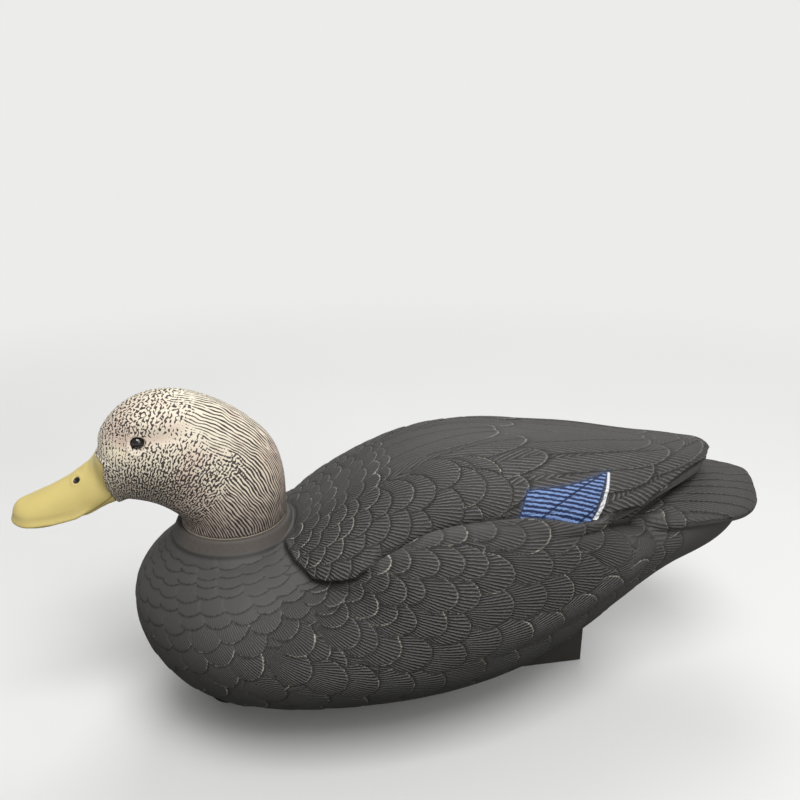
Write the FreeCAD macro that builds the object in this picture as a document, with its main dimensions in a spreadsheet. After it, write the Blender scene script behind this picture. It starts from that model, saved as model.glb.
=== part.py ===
import FreeCAD, Part
import math
import os

import Sketcher
from FreeCAD import Placement, Rotation, Vector

# Floating duck decoy in the tucked, resting pose.  Millimetres.  The duck faces -X, its left
# side is -Y and +Z is up.  The origin lies under the middle of its length, at the keel's foot.

SIZES = {
    # hull
    "bill_tip_reach": 252.5,
    "tail_reach": 252.5,
    "breast_reach": 184.5,
    "wing_tip_setback": 35.0,
    "body_width": 208.0,
    "body_bottom": 18.0,
    "back_top": 190.0,
    "tail_width": 100.0,
    "tail_root_reach": 120.0,
    "core_setback": 11.0,
    "wing_front_reach": 92.0,
    "flank_front_reach": 70.0,
    "flank_rear_reach": 163.0,
    "wall": 3.0,
    # neck joint
    "neck_x": 117.5,
    "neck_radius": 34.0,
    "neck_solid": 10.0,
    "collar_top": 142.6,
    "collar_height": 7.0,
    "collar_lip_radius": 36.0,
    "collar_foot_radius": 39.5,
    "collar_depth": 15.4,
    "collar_skirt": 6.0,
    "collar_lip_round": 1.2,
    "plug_radius": 26.0,
    "plug_depth": 28.0,
    "swivel_clearance": 0.08,
    "socket_wall": 4.0,
    "socket_floor": 4.0,
    "plug_end_gap": 1.0,
    "head_gap": 0.4,
    # swivel washer between head and collar
    "swivel_washer_inner": 28.5,
    "swivel_washer_outer": 33.5,
    "swivel_washer_thickness": 1.2,
    "axial_play": 0.05,
    # head bolt and what it passes
    "bolt_radius": 3.0,
    "bolt_head_flats": 10.0,
    "bolt_head_height": 4.0,
    "bolt_thread_in_insert": 18.0,
    "bolt_washer_outer": 7.0,
    "bolt_washer_thickness": 1.2,
    "spring_washer_outer": 6.0,
    "spring_washer_thickness": 1.0,
    "spring_washer_height": 2.0,
    "bolt_recess_radius": 8.5,
    "bolt_recess_depth": 10.0,
    "insert_radius": 5.0,
    "insert_length": 20.0,
    "bolt_hole_slack": 0.1,
    "bolt_point": 0.8,
    "tube_inner": 3.4,
    "tube_outer": 6.0,
    "tube_seat": 2.0,
    # keel
    "keel_length": 272.0,
    "keel_centre": -6.5,
    "keel_width": 24.0,
    "keel_nose_radius": 12.0,
    "keel_edge_radius": 1.5,
    # ballast
    "ballast_length": 60.0,
    "ballast_width": 13.0,
    "ballast_height": 10.0,
    "ballast_floor": 5.0,
    "ballast_clearance": 0.2,
    "ballast_edge_radius": 2.0,
    # keel screws
    "screw_pitch": 80.0,
    "screw_row_x": -16.0,
    "screw_radius": 2.0,
    "screw_head_radius": 4.0,
    "screw_head_height": 2.6,
    "screw_seat": 6.0,
    "screw_length": 26.0,
    "screw_point": 3.0,
    "screw_hole_spare": 1.0,
    "screw_clearance": 0.25,
    "boss_radius": 6.0,
    "boss_top": 36.0,
    "tube_boss_top": 40.0,
    # anchor line eyelets
    "front_hole_x": -135.5,
    "rear_hole_x": 84.0,
    "line_hole_height": 11.0,
    "line_hole_radius": 4.0,
    "eyelet_radius": 5.0,
    "eyelet_flange_radius": 6.8,
    "eyelet_flange_thickness": 1.2,
    # drain plug
    "plug_x": 24.0,
    "plug_y": 48.0,
    "drain_plug_radius": 6.0,
    "drain_flange_radius": 9.0,
    "drain_flange_thickness": 1.6,
    "drain_stem_length": 9.0,
    "drain_seat": 26.0,
    "drain_post_wall": 1.5,
    "drain_lip": 2.0,
    # eyes
    "eye_radius": 4.2,
    "eye_x": -169.5,
    "eye_height": 206.5,
    "eye_seat": 20.5,
    "eye_bulge": 2.6,
    "eye_shank": 3.2,
    "eye_turn": 16.0,
    "eye_lean": 8.0,
    "eye_post_wall": 2.5,
    "eye_post_depth": 5.0,
    "eye_post_rise": 2.0,
    # slack of a piece seated by hand
    "seat_fit": 0.02,
    # how far a cutting tool runs past the face that it cuts
    "tool_over": 1.0,
}

# How closely the rings of the smooth masses stand, as shares of the body's length, and how
# many points each has; the cavity inside needs fewer.
SECTION_POINTS = 14
STATION_PITCH = .085
CAVITY_POINTS = 10
CAVITY_PITCH = .137
END_ANGLES = (22.0, 44.0, 68.0)

doc = FreeCAD.newDocument("duck_decoy")
sheet = doc.addObject("Spreadsheet::Sheet", "sizes")
for row, (alias, value) in enumerate(SIZES.items(), 1):
    sheet.set("A%d" % row, alias)
    sheet.set("B%d" % row, str(value))
    sheet.setAlias("B%d" % row, alias)
doc.recompute()

nodes = []


def size(alias):
    return float(sheet.get(alias))


# ---------------------------------------------------------------- curves and lofted lobes

def curve(points):
    """A smooth function through (station, value) pairs, flat beyond the ends."""
    def slope(i):
        if i in (0, len(points) - 1):
            return 0.0
        return (points[i + 1][1] - points[i - 1][1]) / (points[i + 1][0] - points[i - 1][0])

    def value(x):
        if x <= points[0][0]:
            return points[0][1]
        for i in range(len(points) - 1):
            x0, v0 = points[i]
            x1, v1 = points[i + 1]
            if x <= x1:
                step = x1 - x0
                u = (x - x0) / step
                rise = v0 + (v1 - v0) * u * u * (3 - 2 * u)
                return rise + step * u * (1 - u) * ((1 - u) * slope(i) - u * slope(i + 1))
        return points[-1][1]
    return value


def rounded(distance, length):
    """The factor that closes an end over the given length with a quarter ellipse."""
    if distance >= length:
        return 1.0
    return math.sqrt(max(0.0, 1.0 - (1.0 - distance / length) ** 2))


def signed_power(value, exponent):
    return math.copysign(abs(value) ** exponent, value)


def ring_poles(points):
    """Poles of the evenly spaced, closed cubic spline that passes through the points."""
    count = len(points)
    poles = points
    for _ in range(40):
        poles = [(points[i] * 6 - poles[i - 1] - poles[(i + 1) % count]) / 4
                 for i in range(count)]
    return poles


def skin(rings, start=None, end=None):
    """A solid through closed rings of points, each end drawn to a point or capped flat."""
    count = len(rings[0])
    if start:
        rings = [[start] * count] + rings
    if end:
        rings = rings + [[end] * count]
    along = [0.0]
    for ring, after in zip(rings, rings[1:]):
        steps = sorted((b - a).Length for a, b in zip(ring, after))
        along.append(along[-1] + steps[count // 2])
    poles = []
    for column in zip(*[ring_poles(ring) for ring in rings]):
        spline = Part.BSplineCurve()
        spline.interpolate(Points=list(column), Parameters=along)
        poles.append(spline.getPoles())
    around = [i / count for i in range(count + 1)]
    surface = Part.BSplineSurface()
    surface.buildFromPolesMultsKnots(poles, [1] * (count + 1), spline.getMultiplicities(),
                                     around, spline.getKnots(), True, False, 3, 3)
    faces = [surface.toShape()]
    for tip, place in ((start, along[0]), (end, along[-1])):
        if not tip:
            faces.append(Part.Face(Part.Wire(surface.vIso(place).toShape())))
    shell = Part.Shell(faces)
    if len(faces) > 1:
        shell.sewShape()
    solid = Part.Solid(shell)
    if solid.Volume < 0:
        solid.reverse()
    return solid


def hollow(rings):
    """A plainer solid for the inside of a moulding: straight between its rings, flat ends."""
    edges = []
    for ring in rings:
        spline = Part.BSplineCurve()
        spline.interpolate(Points=ring, PeriodicFlag=True)
        edges.append(spline.toShape())
    faces = [Part.makeRuledSurface(a, b) for a, b in zip(edges, edges[1:])]
    faces += [Part.Face(Part.Wire(edges[0])), Part.Face(Part.Wire(edges[-1]))]
    shell = Part.Shell(faces)
    shell.sewShape()
    solid = Part.Solid(shell)
    if solid.Volume < 0:
        solid.reverse()
    return solid


def wing_tip():
    return size("tail_reach") - size("wing_tip_setback")


def body_length():
    return size("breast_reach") + wing_tip()


def share(x):
    """Station of x along the body: 0 at the breast, 1 at the wing tips."""
    return (x + size("breast_reach")) / body_length()


def level(part):
    """Height of a share of the way from the hull's bottom to the back's top."""
    return size("body_bottom") + part * (size("back_top") - size("body_bottom"))


class Lobe:
    """One rounded mass of the body, as rings across X between two rounded ends.

    Half-widths are shares of the body's half-width and heights are shares of the way from
    the hull's bottom to the top of the back, along stations that are shares of its length,
    as are the lengths over which the ends close in width, upward and downward.
    A lobe of one side starts its rings on its inner side, buried in the body, and an end
    that lies inside another lobe is cut flat instead of drawn to a tip.
    """

    def __init__(self, start, end, half_width, middle, top, bottom, round_start, round_end,
                 centre=((0.0, 0.0),), fullness=(2.0, 2.0), droop=0.0, tips=(True, True)):
        self.start = start
        self.end = end
        self.half_width = curve(half_width)
        self.middle = curve(middle)
        self.top = curve(top)
        self.bottom = curve(bottom)
        self.centre = curve(centre)
        self.round_start = [part * body_length() for part in round_start]
        self.round_end = [part * body_length() for part in round_end]
        self.fullness = fullness
        self.droop = level(droop) - level(0)
        self.tips = tips

    def stations(self, start, end, pitch):
        front, rear = self.round_start[0], self.round_end[0]
        places = [start + front * (1 - math.cos(math.radians(a))) for a in END_ANGLES]
        run_start, run_end = start + front, end - rear
        count = max(1, round((run_end - run_start) / pitch))
        places += [run_start + (run_end - run_start) * i / count for i in range(count + 1)]
        places += [end - rear * (1 - math.cos(math.radians(a))) for a in reversed(END_ANGLES)]
        return places

    def ring(self, x, start, end, inset, side, count):
        s = share(x)
        half = size("body_width") / 2
        closing = [rounded(x - start, a) * rounded(end - x, b)
                   for a, b in zip(self.round_start, self.round_end)]
        middle = level(self.middle(s))
        wide = (self.half_width(s) * half - inset) * closing[0]
        up = (level(self.top(s)) - middle - inset) * closing[1]
        down = (middle - level(self.bottom(s)) - inset) * closing[2]
        centre = side * self.centre(s) * half
        seam = {-1: 0.0, 0: -math.pi / 2, 1: math.pi}[side]
        points = []
        for i in range(count):
            angle = seam + 2 * math.pi * i / count
            c, d = math.cos(angle), math.sin(angle)
            rise, power = (up, self.fullness[0]) if d >= 0 else (down, self.fullness[1])
            across = signed_power(c, 2 / power)
            y = centre + wide * across
            z = middle + rise * signed_power(d, 2 / power) - self.droop * across ** 2
            points.append(Vector(x, y, z))
        return points

    def lowest(self, x):
        """Height of a middle lobe's underside at station x."""
        return self.ring(x, self.start, self.end, 0.0, 0, 4)[0].z

    def solid(self, inset=0.0, side=0):
        start, end = self.start + inset, self.end - inset
        count, pitch = SECTION_POINTS, STATION_PITCH
        if inset:
            count, pitch = CAVITY_POINTS, CAVITY_PITCH
        rings = [self.ring(x, start, end, inset, side, count)
                 for x in self.stations(start, end, pitch * body_length())]
        if inset:
            return hollow(rings)
        half = size("body_width") / 2
        tips = [Vector(x, side * self.centre(share(x)) * half, level(self.middle(share(x))))
                if shown else None for x, shown in zip((start, end), self.tips)]
        return skin(rings, *tips)


def body_core():
    return Lobe(
        start=-size("breast_reach"), end=size("tail_reach") - size("core_setback"),
        half_width=((0, .93), (.15, .94), (.30, .955), (.42, .975), (.537, .905), (.634, .80),
                    (.72, .665), (.78, .565), (.855, .485), (.93, .435), (1, .385),
                    (1.08, .33)),
        middle=((0, .42), (.172, .39), (.31, .37), (.45, .375), (.634, .395), (.72, .43),
                (.78, .465), (.855, .535), (.93, .61), (1, .665), (1.08, .71)),
        top=((0, .69), (.172, .695), (.255, .705), (.31, .735), (.37, .81), (.47, .88),
             (.56, .90), (.645, .885), (.72, .85), (.80, .80), (.87, .775), (.94, .762),
             (1.08, .755)),
        bottom=((0, .01), (.17, .015), (.40, 0), (.537, .01), (.634, .052), (.72, .122),
                (.78, .198), (.855, .30), (.93, .39), (1, .455), (1.08, .56)),
        round_start=(.299, .129, .197), round_end=(.065, .065, .065),
        fullness=(1.82, 2.0), tips=(True, False))


def folded_wings():
    return Lobe(
        start=-size("wing_front_reach"), end=wing_tip(),
        half_width=((.23, .66), (.31, .73), (.36, .755), (.41, .76), (.54, .75), (.62, .73),
                    (.70, .69), (.77, .605), (.845, .46), (.92, .305), (.97, .19), (1, .12)),
        middle=((.23, .60), (.31, .615), (.36, .635), (.41, .665), (.47, .70), (.545, .725),
                (.62, .74), (.77, .77), (.845, .79), (1, .82)),
        top=((.23, .735), (.31, .775), (.36, .85), (.41, .915), (.47, .97), (.545, .995),
             (.62, .992), (.695, .97), (.77, .95), (.845, .92), (.92, .90), (1, .885)),
        bottom=((.23, .50), (.36, .54), (.48, .63), (.62, .675), (.77, .715), (.845, .745),
                (1, .785)),
        round_start=(.119, .10, .10), round_end=(.055, .022, .022),
        fullness=(2.0, 2.0), tips=(False, True))


def flank():
    return Lobe(
        start=-size("flank_front_reach"), end=size("flank_rear_reach"),
        centre=((.30, .56), (.48, .57), (.625, .535), (.72, .485), (.78, .44), (.86, .385)),
        half_width=((.30, .36), (.48, .41), (.625, .345), (.72, .27), (.78, .235), (.86, .20)),
        middle=((.30, .45), (.48, .475), (.625, .495), (.72, .53), (.78, .55), (.86, .57)),
        top=((.30, .68), (.40, .77), (.48, .825), (.60, .83), (.68, .79), (.76, .735),
             (.86, .69)),
        bottom=((.30, .12), (.48, .16), (.625, .28), (.72, .37), (.78, .42), (.86, .45)),
        round_start=(.199, .149, .174), round_end=(.10, .139, .139),
        fullness=(2.15, 2.0), tips=(False, False))


def tail():
    width = size("tail_width") / size("body_width")
    return Lobe(
        start=size("tail_root_reach"), end=size("tail_reach"),
        half_width=((.80, .94 * width), (.90, .98 * width), (1, width), (1.2, width)),
        middle=((.80, .685), (.95, .71), (1.1, .70)),
        top=((.80, .76), (.95, .755), (1.1, .735)),
        bottom=((.80, .60), (.95, .65), (1.1, .66)),
        round_start=(.149, .05, .05), round_end=(.124, .02, .02),
        fullness=(2.4, 2.4), droop=.0465, tips=(False, True))


# ---------------------------------------------------------------- sub-part helpers

def add_feature(name, shape):
    item = doc.addObject("Part::Feature", name)
    item.Label = name
    item.Shape = shape
    item.Placement = Placement()
    nodes.append(item)
    return item


def new_body(name, base=(0, 0, 0), rotation=None):
    body = doc.addObject("PartDesign::Body", name)
    body.Label = name
    body.Placement = Placement(Vector(*base), rotation or Rotation())
    nodes.append(body)
    return body


def attach(body, sketch, role, lift=None):
    planes = [p for p in body.Origin.OriginFeatures if p.Role == role]
    sketch.AttachmentSupport = (planes[0], "")
    sketch.MapMode = "FlatFace"
    if lift:
        sketch.setExpression("AttachmentOffset.Base.z", lift)


def circle_sketch(body, name, radii, role="XY_Plane", lift=None):
    """Circles about the body's own axis, each radius bound to an expression."""
    sketch = body.newObject("Sketcher::SketchObject", name)
    attach(body, sketch, role, lift)
    for i, radius in enumerate(radii):
        number = float(sketch.evalExpression(radius))
        sketch.addGeometry(Part.Circle(Vector(), Vector(0, 0, 1), number), False)
        sketch.addConstraint(Sketcher.Constraint("Coincident", i, 3, -1, 1))
        index = sketch.addConstraint(Sketcher.Constraint("Radius", i, number))
        sketch.setExpression("Constraints[%d]" % index, radius)
    return sketch


def polygon_sketch(body, name, corners, role="XY_Plane", lift=None):
    """A closed outline with every corner's two coordinates bound to expressions."""
    sketch = body.newObject("Sketcher::SketchObject", name)
    attach(body, sketch, role, lift)
    places = [Vector(float(sketch.evalExpression(a)), float(sketch.evalExpression(b)), 0)
              for a, b in corners]
    count = len(places)
    for i in range(count):
        sketch.addGeometry(Part.LineSegment(places[i], places[(i + 1) % count]), False)
    for i in range(count):
        sketch.addConstraint(Sketcher.Constraint("Coincident", i, 2, (i + 1) % count, 1))
    for i in range(count):
        for kind, number, text in (("DistanceX", places[i].x, corners[i][0]),
                                   ("DistanceY", places[i].y, corners[i][1])):
            index = sketch.addConstraint(Sketcher.Constraint(kind, -1, 1, i, 1, number))
            sketch.setExpression("Constraints[%d]" % index, text)
    return sketch


def pad(body, sketch, name, length):
    feature = body.newObject("PartDesign::Pad", name)
    feature.Profile = sketch
    feature.setExpression("Length", length)
    return feature


def revolve(body, sketch, name):
    """A full turn about the sketch's upright axis."""
    feature = body.newObject("PartDesign::Revolution", name)
    feature.Profile = sketch
    feature.ReferenceAxis = (sketch, ["V_Axis"])
    feature.Angle = 360.0
    return feature


def cylinder(radius, bottom, top, x=0.0, y=0.0):
    return Part.makeCylinder(radius, top - bottom, Vector(x, y, bottom))


def spline_cylinder(radius, bottom, top, x=0.0, y=0.0):
    """A cylinder whose side is a spline face, as the hull's skins that it meets are."""
    return cylinder(radius, bottom, top, x, y).toNurbs()


def cross_cylinder(radius, length, x, z):
    """A cylinder along Y, centred on the middle plane."""
    return Part.makeCylinder(radius, length, Vector(x, -length / 2, z), Vector(0, 1, 0))


# ---------------------------------------------------------------- hull

def neck_axis():
    return -size("neck_x")


def socket_bottom():
    return size("collar_top") - size("plug_depth") - size("plug_end_gap")


def socket_radius():
    return size("plug_radius") + size("swivel_clearance")


# How far the collar's rounded lip runs outward, as a share of its height.
LIP_SLOPE = 1 / 1.2


def collar():
    """The flared ring that the head turns on, and the cup under it."""
    lip, foot = size("collar_lip_radius"), size("collar_foot_radius")
    top = size("collar_top")
    low = top - size("collar_height")
    deep = top - size("collar_depth")
    edge = size("collar_lip_round")
    profile = [(0, deep), (foot + size("collar_skirt"), deep), (foot, low),
               (lip + LIP_SLOPE * edge, top - edge), (lip, top), (0, top)]
    wire = Part.makePolygon([Vector(r, 0, z) for r, z in profile + profile[:1]])
    ring = Part.Face(wire).revolve(Vector(), Vector(0, 0, 1), 360)
    ring.translate(Vector(neck_axis(), 0, 0))
    return ring


def screw_places():
    return [size("screw_row_x") + size("screw_pitch") * i for i in (-1, 0, 1)]


def drain_place():
    return size("plug_x"), size("plug_y")


def belly(x):
    """Height of the middle of the hull's wall underneath, where its posts stand."""
    return body_core().lowest(x) + size("wall") / 2


def joined(first, others):
    """The first solid fused with each of the others in turn, which all must reach into it."""
    whole = first
    for other in others:
        grown = whole.fuse(other)
        if len(grown.Solids) != 1 or grown.Volume < whole.Volume * .999:
            raise RuntimeError("a lobe of the body did not join")
        whole = grown
    return whole


def lobes(inset=0.0):
    return [folded_wings().solid(inset), flank().solid(inset, 1), flank().solid(inset, -1)]


def body_shell():
    wall = size("wall")
    x = neck_axis()
    px, py = drain_place()
    over = size("tool_over")
    under = size("body_bottom") - over
    outer = joined(body_core().solid(), lobes() + [tail().solid(), collar()])
    cavity = joined(body_core().solid(wall), lobes(wall))
    posts = [cylinder(size("boss_radius"), belly(place), size("boss_top"), place)
             for place in screw_places()]
    posts.append(cylinder(size("tube_outer") + wall, belly(x), size("tube_boss_top"), x))
    drain_post = spline_cylinder(size("drain_flange_radius") + size("drain_post_wall"), under,
                                 size("drain_seat") + wall + size("drain_lip"), px, py)
    cup = cylinder(socket_radius() + size("socket_wall"),
                   socket_bottom() - size("socket_floor"), size("collar_top") - wall, x)
    posts += [drain_post.common(outer), cup.common(outer)]
    shell = outer.cut(cavity)
    for post in posts:
        shell = shell.fuse(post)
    groove = size("swivel_washer_thickness") - size("head_gap") + size("axial_play")
    above = size("collar_top") + over
    ring = cylinder(size("swivel_washer_outer"), size("collar_top") - groove, above, x)
    fit = size("seat_fit")
    tools = [
        cylinder(socket_radius(), socket_bottom(), above, x),
        ring.cut(cylinder(size("swivel_washer_inner"), 0, above + over, x)),
        spline_cylinder(size("tube_outer"), under, socket_bottom() + over, x),
        spline_cylinder(size("drain_flange_radius") + fit, under, size("drain_seat"), px, py),
        spline_cylinder(size("drain_plug_radius") + fit, under, size("collar_top"), px, py),
    ]
    screw_tip = size("screw_seat") + size("screw_length") + size("screw_hole_spare")
    tools += [spline_cylinder(size("screw_radius"), under, screw_tip, place)
              for place in screw_places()]
    for tool in tools:
        shell = shell.cut(tool)
    return add_feature("body_shell", shell)


def keel():
    """A plate seated against the hull, with a round fore foot and easy bottom edges."""
    length, width = size("keel_length"), size("keel_width")
    centre = size("keel_centre")
    front, rear = centre - length / 2, centre + length / 2
    nose = size("keel_nose_radius")
    top = level(.3)
    corner = Vector(front + nose, 0, nose)
    mid = corner + Vector(-nose, 0, -nose) * math.sqrt(.5)
    edges = [
        Part.Arc(Vector(front, 0, nose), mid, Vector(front + nose, 0, 0)).toShape(),
        Part.makeLine(Vector(front + nose, 0, 0), Vector(rear, 0, 0)),
        Part.makeLine(Vector(rear, 0, 0), Vector(rear, 0, top)),
        Part.makeLine(Vector(rear, 0, top), Vector(front, 0, top)),
        Part.makeLine(Vector(front, 0, top), Vector(front, 0, nose)),
    ]
    face = Part.Face(Part.Wire(edges))
    face.translate(Vector(0, -width / 2, 0))
    plate = face.extrude(Vector(0, width, 0))
    low = [e for e in plate.Edges
           if e.BoundBox.YLength < .001 and e.BoundBox.ZMin < nose - .1
           and e.BoundBox.XLength > .1]
    plate = plate.makeFillet(size("keel_edge_radius"), low)
    x = neck_axis()
    gap = size("screw_clearance")
    seat = size("screw_seat")
    over = size("tool_over")
    tube_foot = size("bolt_recess_depth") + size("tube_seat")
    tools = [
        body_core().solid(),
        cylinder(size("bolt_recess_radius"), -over, size("bolt_recess_depth"), x),
        spline_cylinder(size("tube_outer"), tube_foot, top + over, x),
        cylinder(size("tube_inner"), 0, tube_foot + over, x),
    ]
    for place in screw_places():
        tools.append(cylinder(size("screw_head_radius") + gap, -over, seat, place))
        tools.append(spline_cylinder(size("screw_radius") + gap, seat - over, top + over, place))
    for place in ballast_places():
        tools.append(ballast_box(place, size("ballast_clearance"), top))
    for place in (size("front_hole_x"), size("rear_hole_x")):
        tools.append(cross_cylinder(size("eyelet_radius"), 2 * width, place,
                                    size("line_hole_height")))
        for side in (-1, 1):
            depth = size("eyelet_flange_thickness")
            start = side * width / 2 - (depth if side > 0 else 0)
            tools.append(Part.makeCylinder(
                size("eyelet_flange_radius"), depth,
                Vector(place, start, size("line_hole_height")), Vector(0, 1, 0)))
    for tool in tools:
        plate = plate.cut(tool)
    return add_feature("keel", plate.removeSplitter())


# ---------------------------------------------------------------- ballast and fasteners

def ballast_places():
    return [size("screw_row_x") + size("screw_pitch") / 2 * side for side in (-1, 1)]


def ballast_box(place, gap, height):
    length, width = size("ballast_length") + 2 * gap, size("ballast_width") + 2 * gap
    return Part.makeBox(length, width, height,
                        Vector(place - length / 2, -width / 2, size("ballast_floor")))


def ballast_bar(name, side):
    place = size("screw_row_x") + side * size("screw_pitch") / 2
    body = new_body(name, (place, 0, size("ballast_floor")))
    half_length, half_width = "sizes.ballast_length / 2", "sizes.ballast_width / 2"
    outline = polygon_sketch(body, name + "_outline", [
        ("-" + half_length, "-" + half_width), (half_length, "-" + half_width),
        (half_length, half_width), ("-" + half_length, half_width)])
    bar = pad(body, outline, name + "_bar", "sizes.ballast_height")
    doc.recompute()
    rounding = body.newObject("PartDesign::Fillet", name + "_edges")
    upright = [i + 1 for i, e in enumerate(bar.Shape.Edges) if e.BoundBox.ZLength > 1]
    rounding.Base = (bar, ["Edge%d" % i for i in upright])
    rounding.setExpression("Radius", "sizes.ballast_edge_radius")
    return body


def keel_screws():
    """Three identical pan-head screws up through the keel into the hull's bosses."""
    body = new_body("keel_screws", (size("screw_row_x"), 0, size("screw_seat")))
    body.AllowCompound = True
    head, shank = "sizes.screw_head_radius", "sizes.screw_radius"
    profile = polygon_sketch(body, "screw_profile", [
        ("0", "-sizes.screw_head_height * .6"),
        (head + " * .35", "-sizes.screw_head_height * .6"),
        (head + " * .35", "-sizes.screw_head_height"),
        (head + " * .8", "-sizes.screw_head_height"),
        (head, "-sizes.screw_head_height * .6"), (head, "0"), (shank, "0"),
        (shank, "sizes.screw_length - sizes.screw_point"), ("0", "sizes.screw_length")],
        "XZ_Plane")
    screw = revolve(body, profile, "screw")
    doc.recompute()
    for side in (-1, 1):
        copies = body.newObject("PartDesign::LinearPattern", "screw_row_%d" % (side + 1))
        copies.Originals = [screw]
        axis = [p for p in body.Origin.OriginFeatures if p.Role == "X_Axis"][0]
        copies.Direction = (axis, [""])
        copies.Reversed = side < 0
        copies.Occurrences = 2
        copies.setExpression("Length", "sizes.screw_pitch")
        body.Tip = copies
    return body


def eyelet(name, alias):
    """A brass spool that lines one anchor line hole, its axis across the keel."""
    body = new_body(name, (size(alias), 0, size("line_hole_height")),
                    Rotation(Vector(1, 0, 0), 90))
    inner, outer = "sizes.line_hole_radius", "sizes.eyelet_radius"
    flange, half = "sizes.eyelet_flange_radius", "sizes.keel_width / 2"
    neck = half + " - sizes.eyelet_flange_thickness"
    profile = polygon_sketch(body, name + "_profile", [
        (inner, "-(" + half + ")"), (flange, "-(" + half + ")"), (flange, "-(" + neck + ")"),
        (outer, "-(" + neck + ")"), (outer, neck), (flange, neck), (flange, half),
        (inner, half)], "XZ_Plane")
    revolve(body, profile, name + "_spool")
    return body


def drain_plug():
    x, y = drain_place()
    body = new_body("drain_plug", (x, y, size("drain_seat")))
    stem, flange = "sizes.drain_plug_radius", "sizes.drain_flange_radius"
    thick, length = "sizes.drain_flange_thickness", "sizes.drain_stem_length"
    profile = polygon_sketch(body, "drain_plug_profile", [
        ("0", "-" + thick), (flange + " - .8", "-" + thick), (flange, "-" + thick + " + .8"),
        (flange, "0"), (stem, "0"), (stem, length + " - 1.5"), (stem + " - 1", length),
        ("0", length)], "XZ_Plane")
    revolve(body, profile, "drain_plug_turned")
    return body


def bolt_tube():
    """The tube that keeps the bolt's way dry, from the keel's recess to the neck socket."""
    foot = size("bolt_recess_depth") + size("tube_seat")
    body = new_body("bolt_tube", (neck_axis(), 0, foot))
    ring = circle_sketch(body, "bolt_tube_ring", ["sizes.tube_outer", "sizes.tube_inner"])
    pad(body, ring, "bolt_tube_wall",
        "sizes.collar_top - sizes.plug_depth - sizes.plug_end_gap"
        " - sizes.bolt_recess_depth - sizes.tube_seat")
    return body


def swivel_washer():
    lift = size("collar_top") - size("swivel_washer_thickness") + size("head_gap") \
        - size("axial_play")
    body = new_body("swivel_washer", (neck_axis(), 0, lift))
    ring = circle_sketch(body, "swivel_washer_ring",
                         ["sizes.swivel_washer_outer", "sizes.swivel_washer_inner"])
    pad(body, ring, "swivel_washer_disc", "sizes.swivel_washer_thickness")
    return body


def bolt_washer():
    lift = size("bolt_recess_depth") - size("bolt_washer_thickness") - size("axial_play")
    body = new_body("bolt_washer", (neck_axis(), 0, lift))
    ring = circle_sketch(body, "bolt_washer_ring",
                         ["sizes.bolt_washer_outer",
                          "sizes.bolt_radius + sizes.bolt_hole_slack"])
    pad(body, ring, "bolt_washer_disc", "sizes.bolt_washer_thickness")
    return body


def spring_washer_base():
    return size("bolt_recess_depth") - size("axial_play") - size("bolt_washer_thickness") \
        - size("spring_washer_height")


def spring_washer():
    """A cone washer under the bolt's head: its pull is the head's turning friction."""
    body = new_body("spring_washer", (neck_axis(), 0, spring_washer_base()))
    inner = "sizes.bolt_radius + sizes.bolt_hole_slack"
    outer = "sizes.spring_washer_outer"
    thick, height = "sizes.spring_washer_thickness", "sizes.spring_washer_height"
    profile = polygon_sketch(body, "spring_washer_profile", [
        (inner, "0"), (inner + " + .8", "0"), (outer, height + " - " + thick),
        (outer, height), (outer + " - .8", height), (inner, thick)], "XZ_Plane")
    revolve(body, profile, "spring_washer_cone")
    return body


def head_bolt():
    body = new_body("head_bolt", (neck_axis(), 0, spring_washer_base()))
    apothem = "sizes.bolt_head_flats / 2"
    corner = "sizes.bolt_head_flats / sqrt(3)"
    outline = polygon_sketch(body, "bolt_hexagon", [
        (corner, "0"), (corner + " / 2", apothem), ("-" + corner + " / 2", apothem),
        ("-" + corner, "0"), ("-" + corner + " / 2", "-" + apothem),
        (corner + " / 2", "-" + apothem)])
    hexagon = pad(body, outline, "bolt_head", "sizes.bolt_head_height")
    hexagon.Reversed = True
    circle = circle_sketch(body, "bolt_circle", ["sizes.bolt_radius"])
    base = size("collar_top") - size("plug_depth") - spring_washer_base()
    length = base + size("bolt_thread_in_insert")
    shank = pad(body, circle, "bolt_shank",
                "sizes.collar_top - sizes.plug_depth + sizes.bolt_thread_in_insert"
                " - (sizes.bolt_recess_depth - sizes.axial_play"
                " - sizes.bolt_washer_thickness - sizes.spring_washer_height)")
    doc.recompute()
    top = [i + 1 for i, e in enumerate(shank.Shape.Edges)
           if e.BoundBox.ZMin > length - .01]
    point = body.newObject("PartDesign::Chamfer", "bolt_point")
    point.Base = (shank, ["Edge%d" % i for i in top])
    point.setExpression("Size", "sizes.bolt_point")
    return body


def head_insert():
    """The threaded brass insert moulded into the neck plug."""
    body = new_body("head_insert", (neck_axis(), 0, size("collar_top") - size("plug_depth")))
    ring = circle_sketch(body, "insert_ring", ["sizes.insert_radius", "sizes.bolt_radius"])
    pad(body, ring, "insert_barrel", "sizes.insert_length")
    return body


# ---------------------------------------------------------------- head

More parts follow.
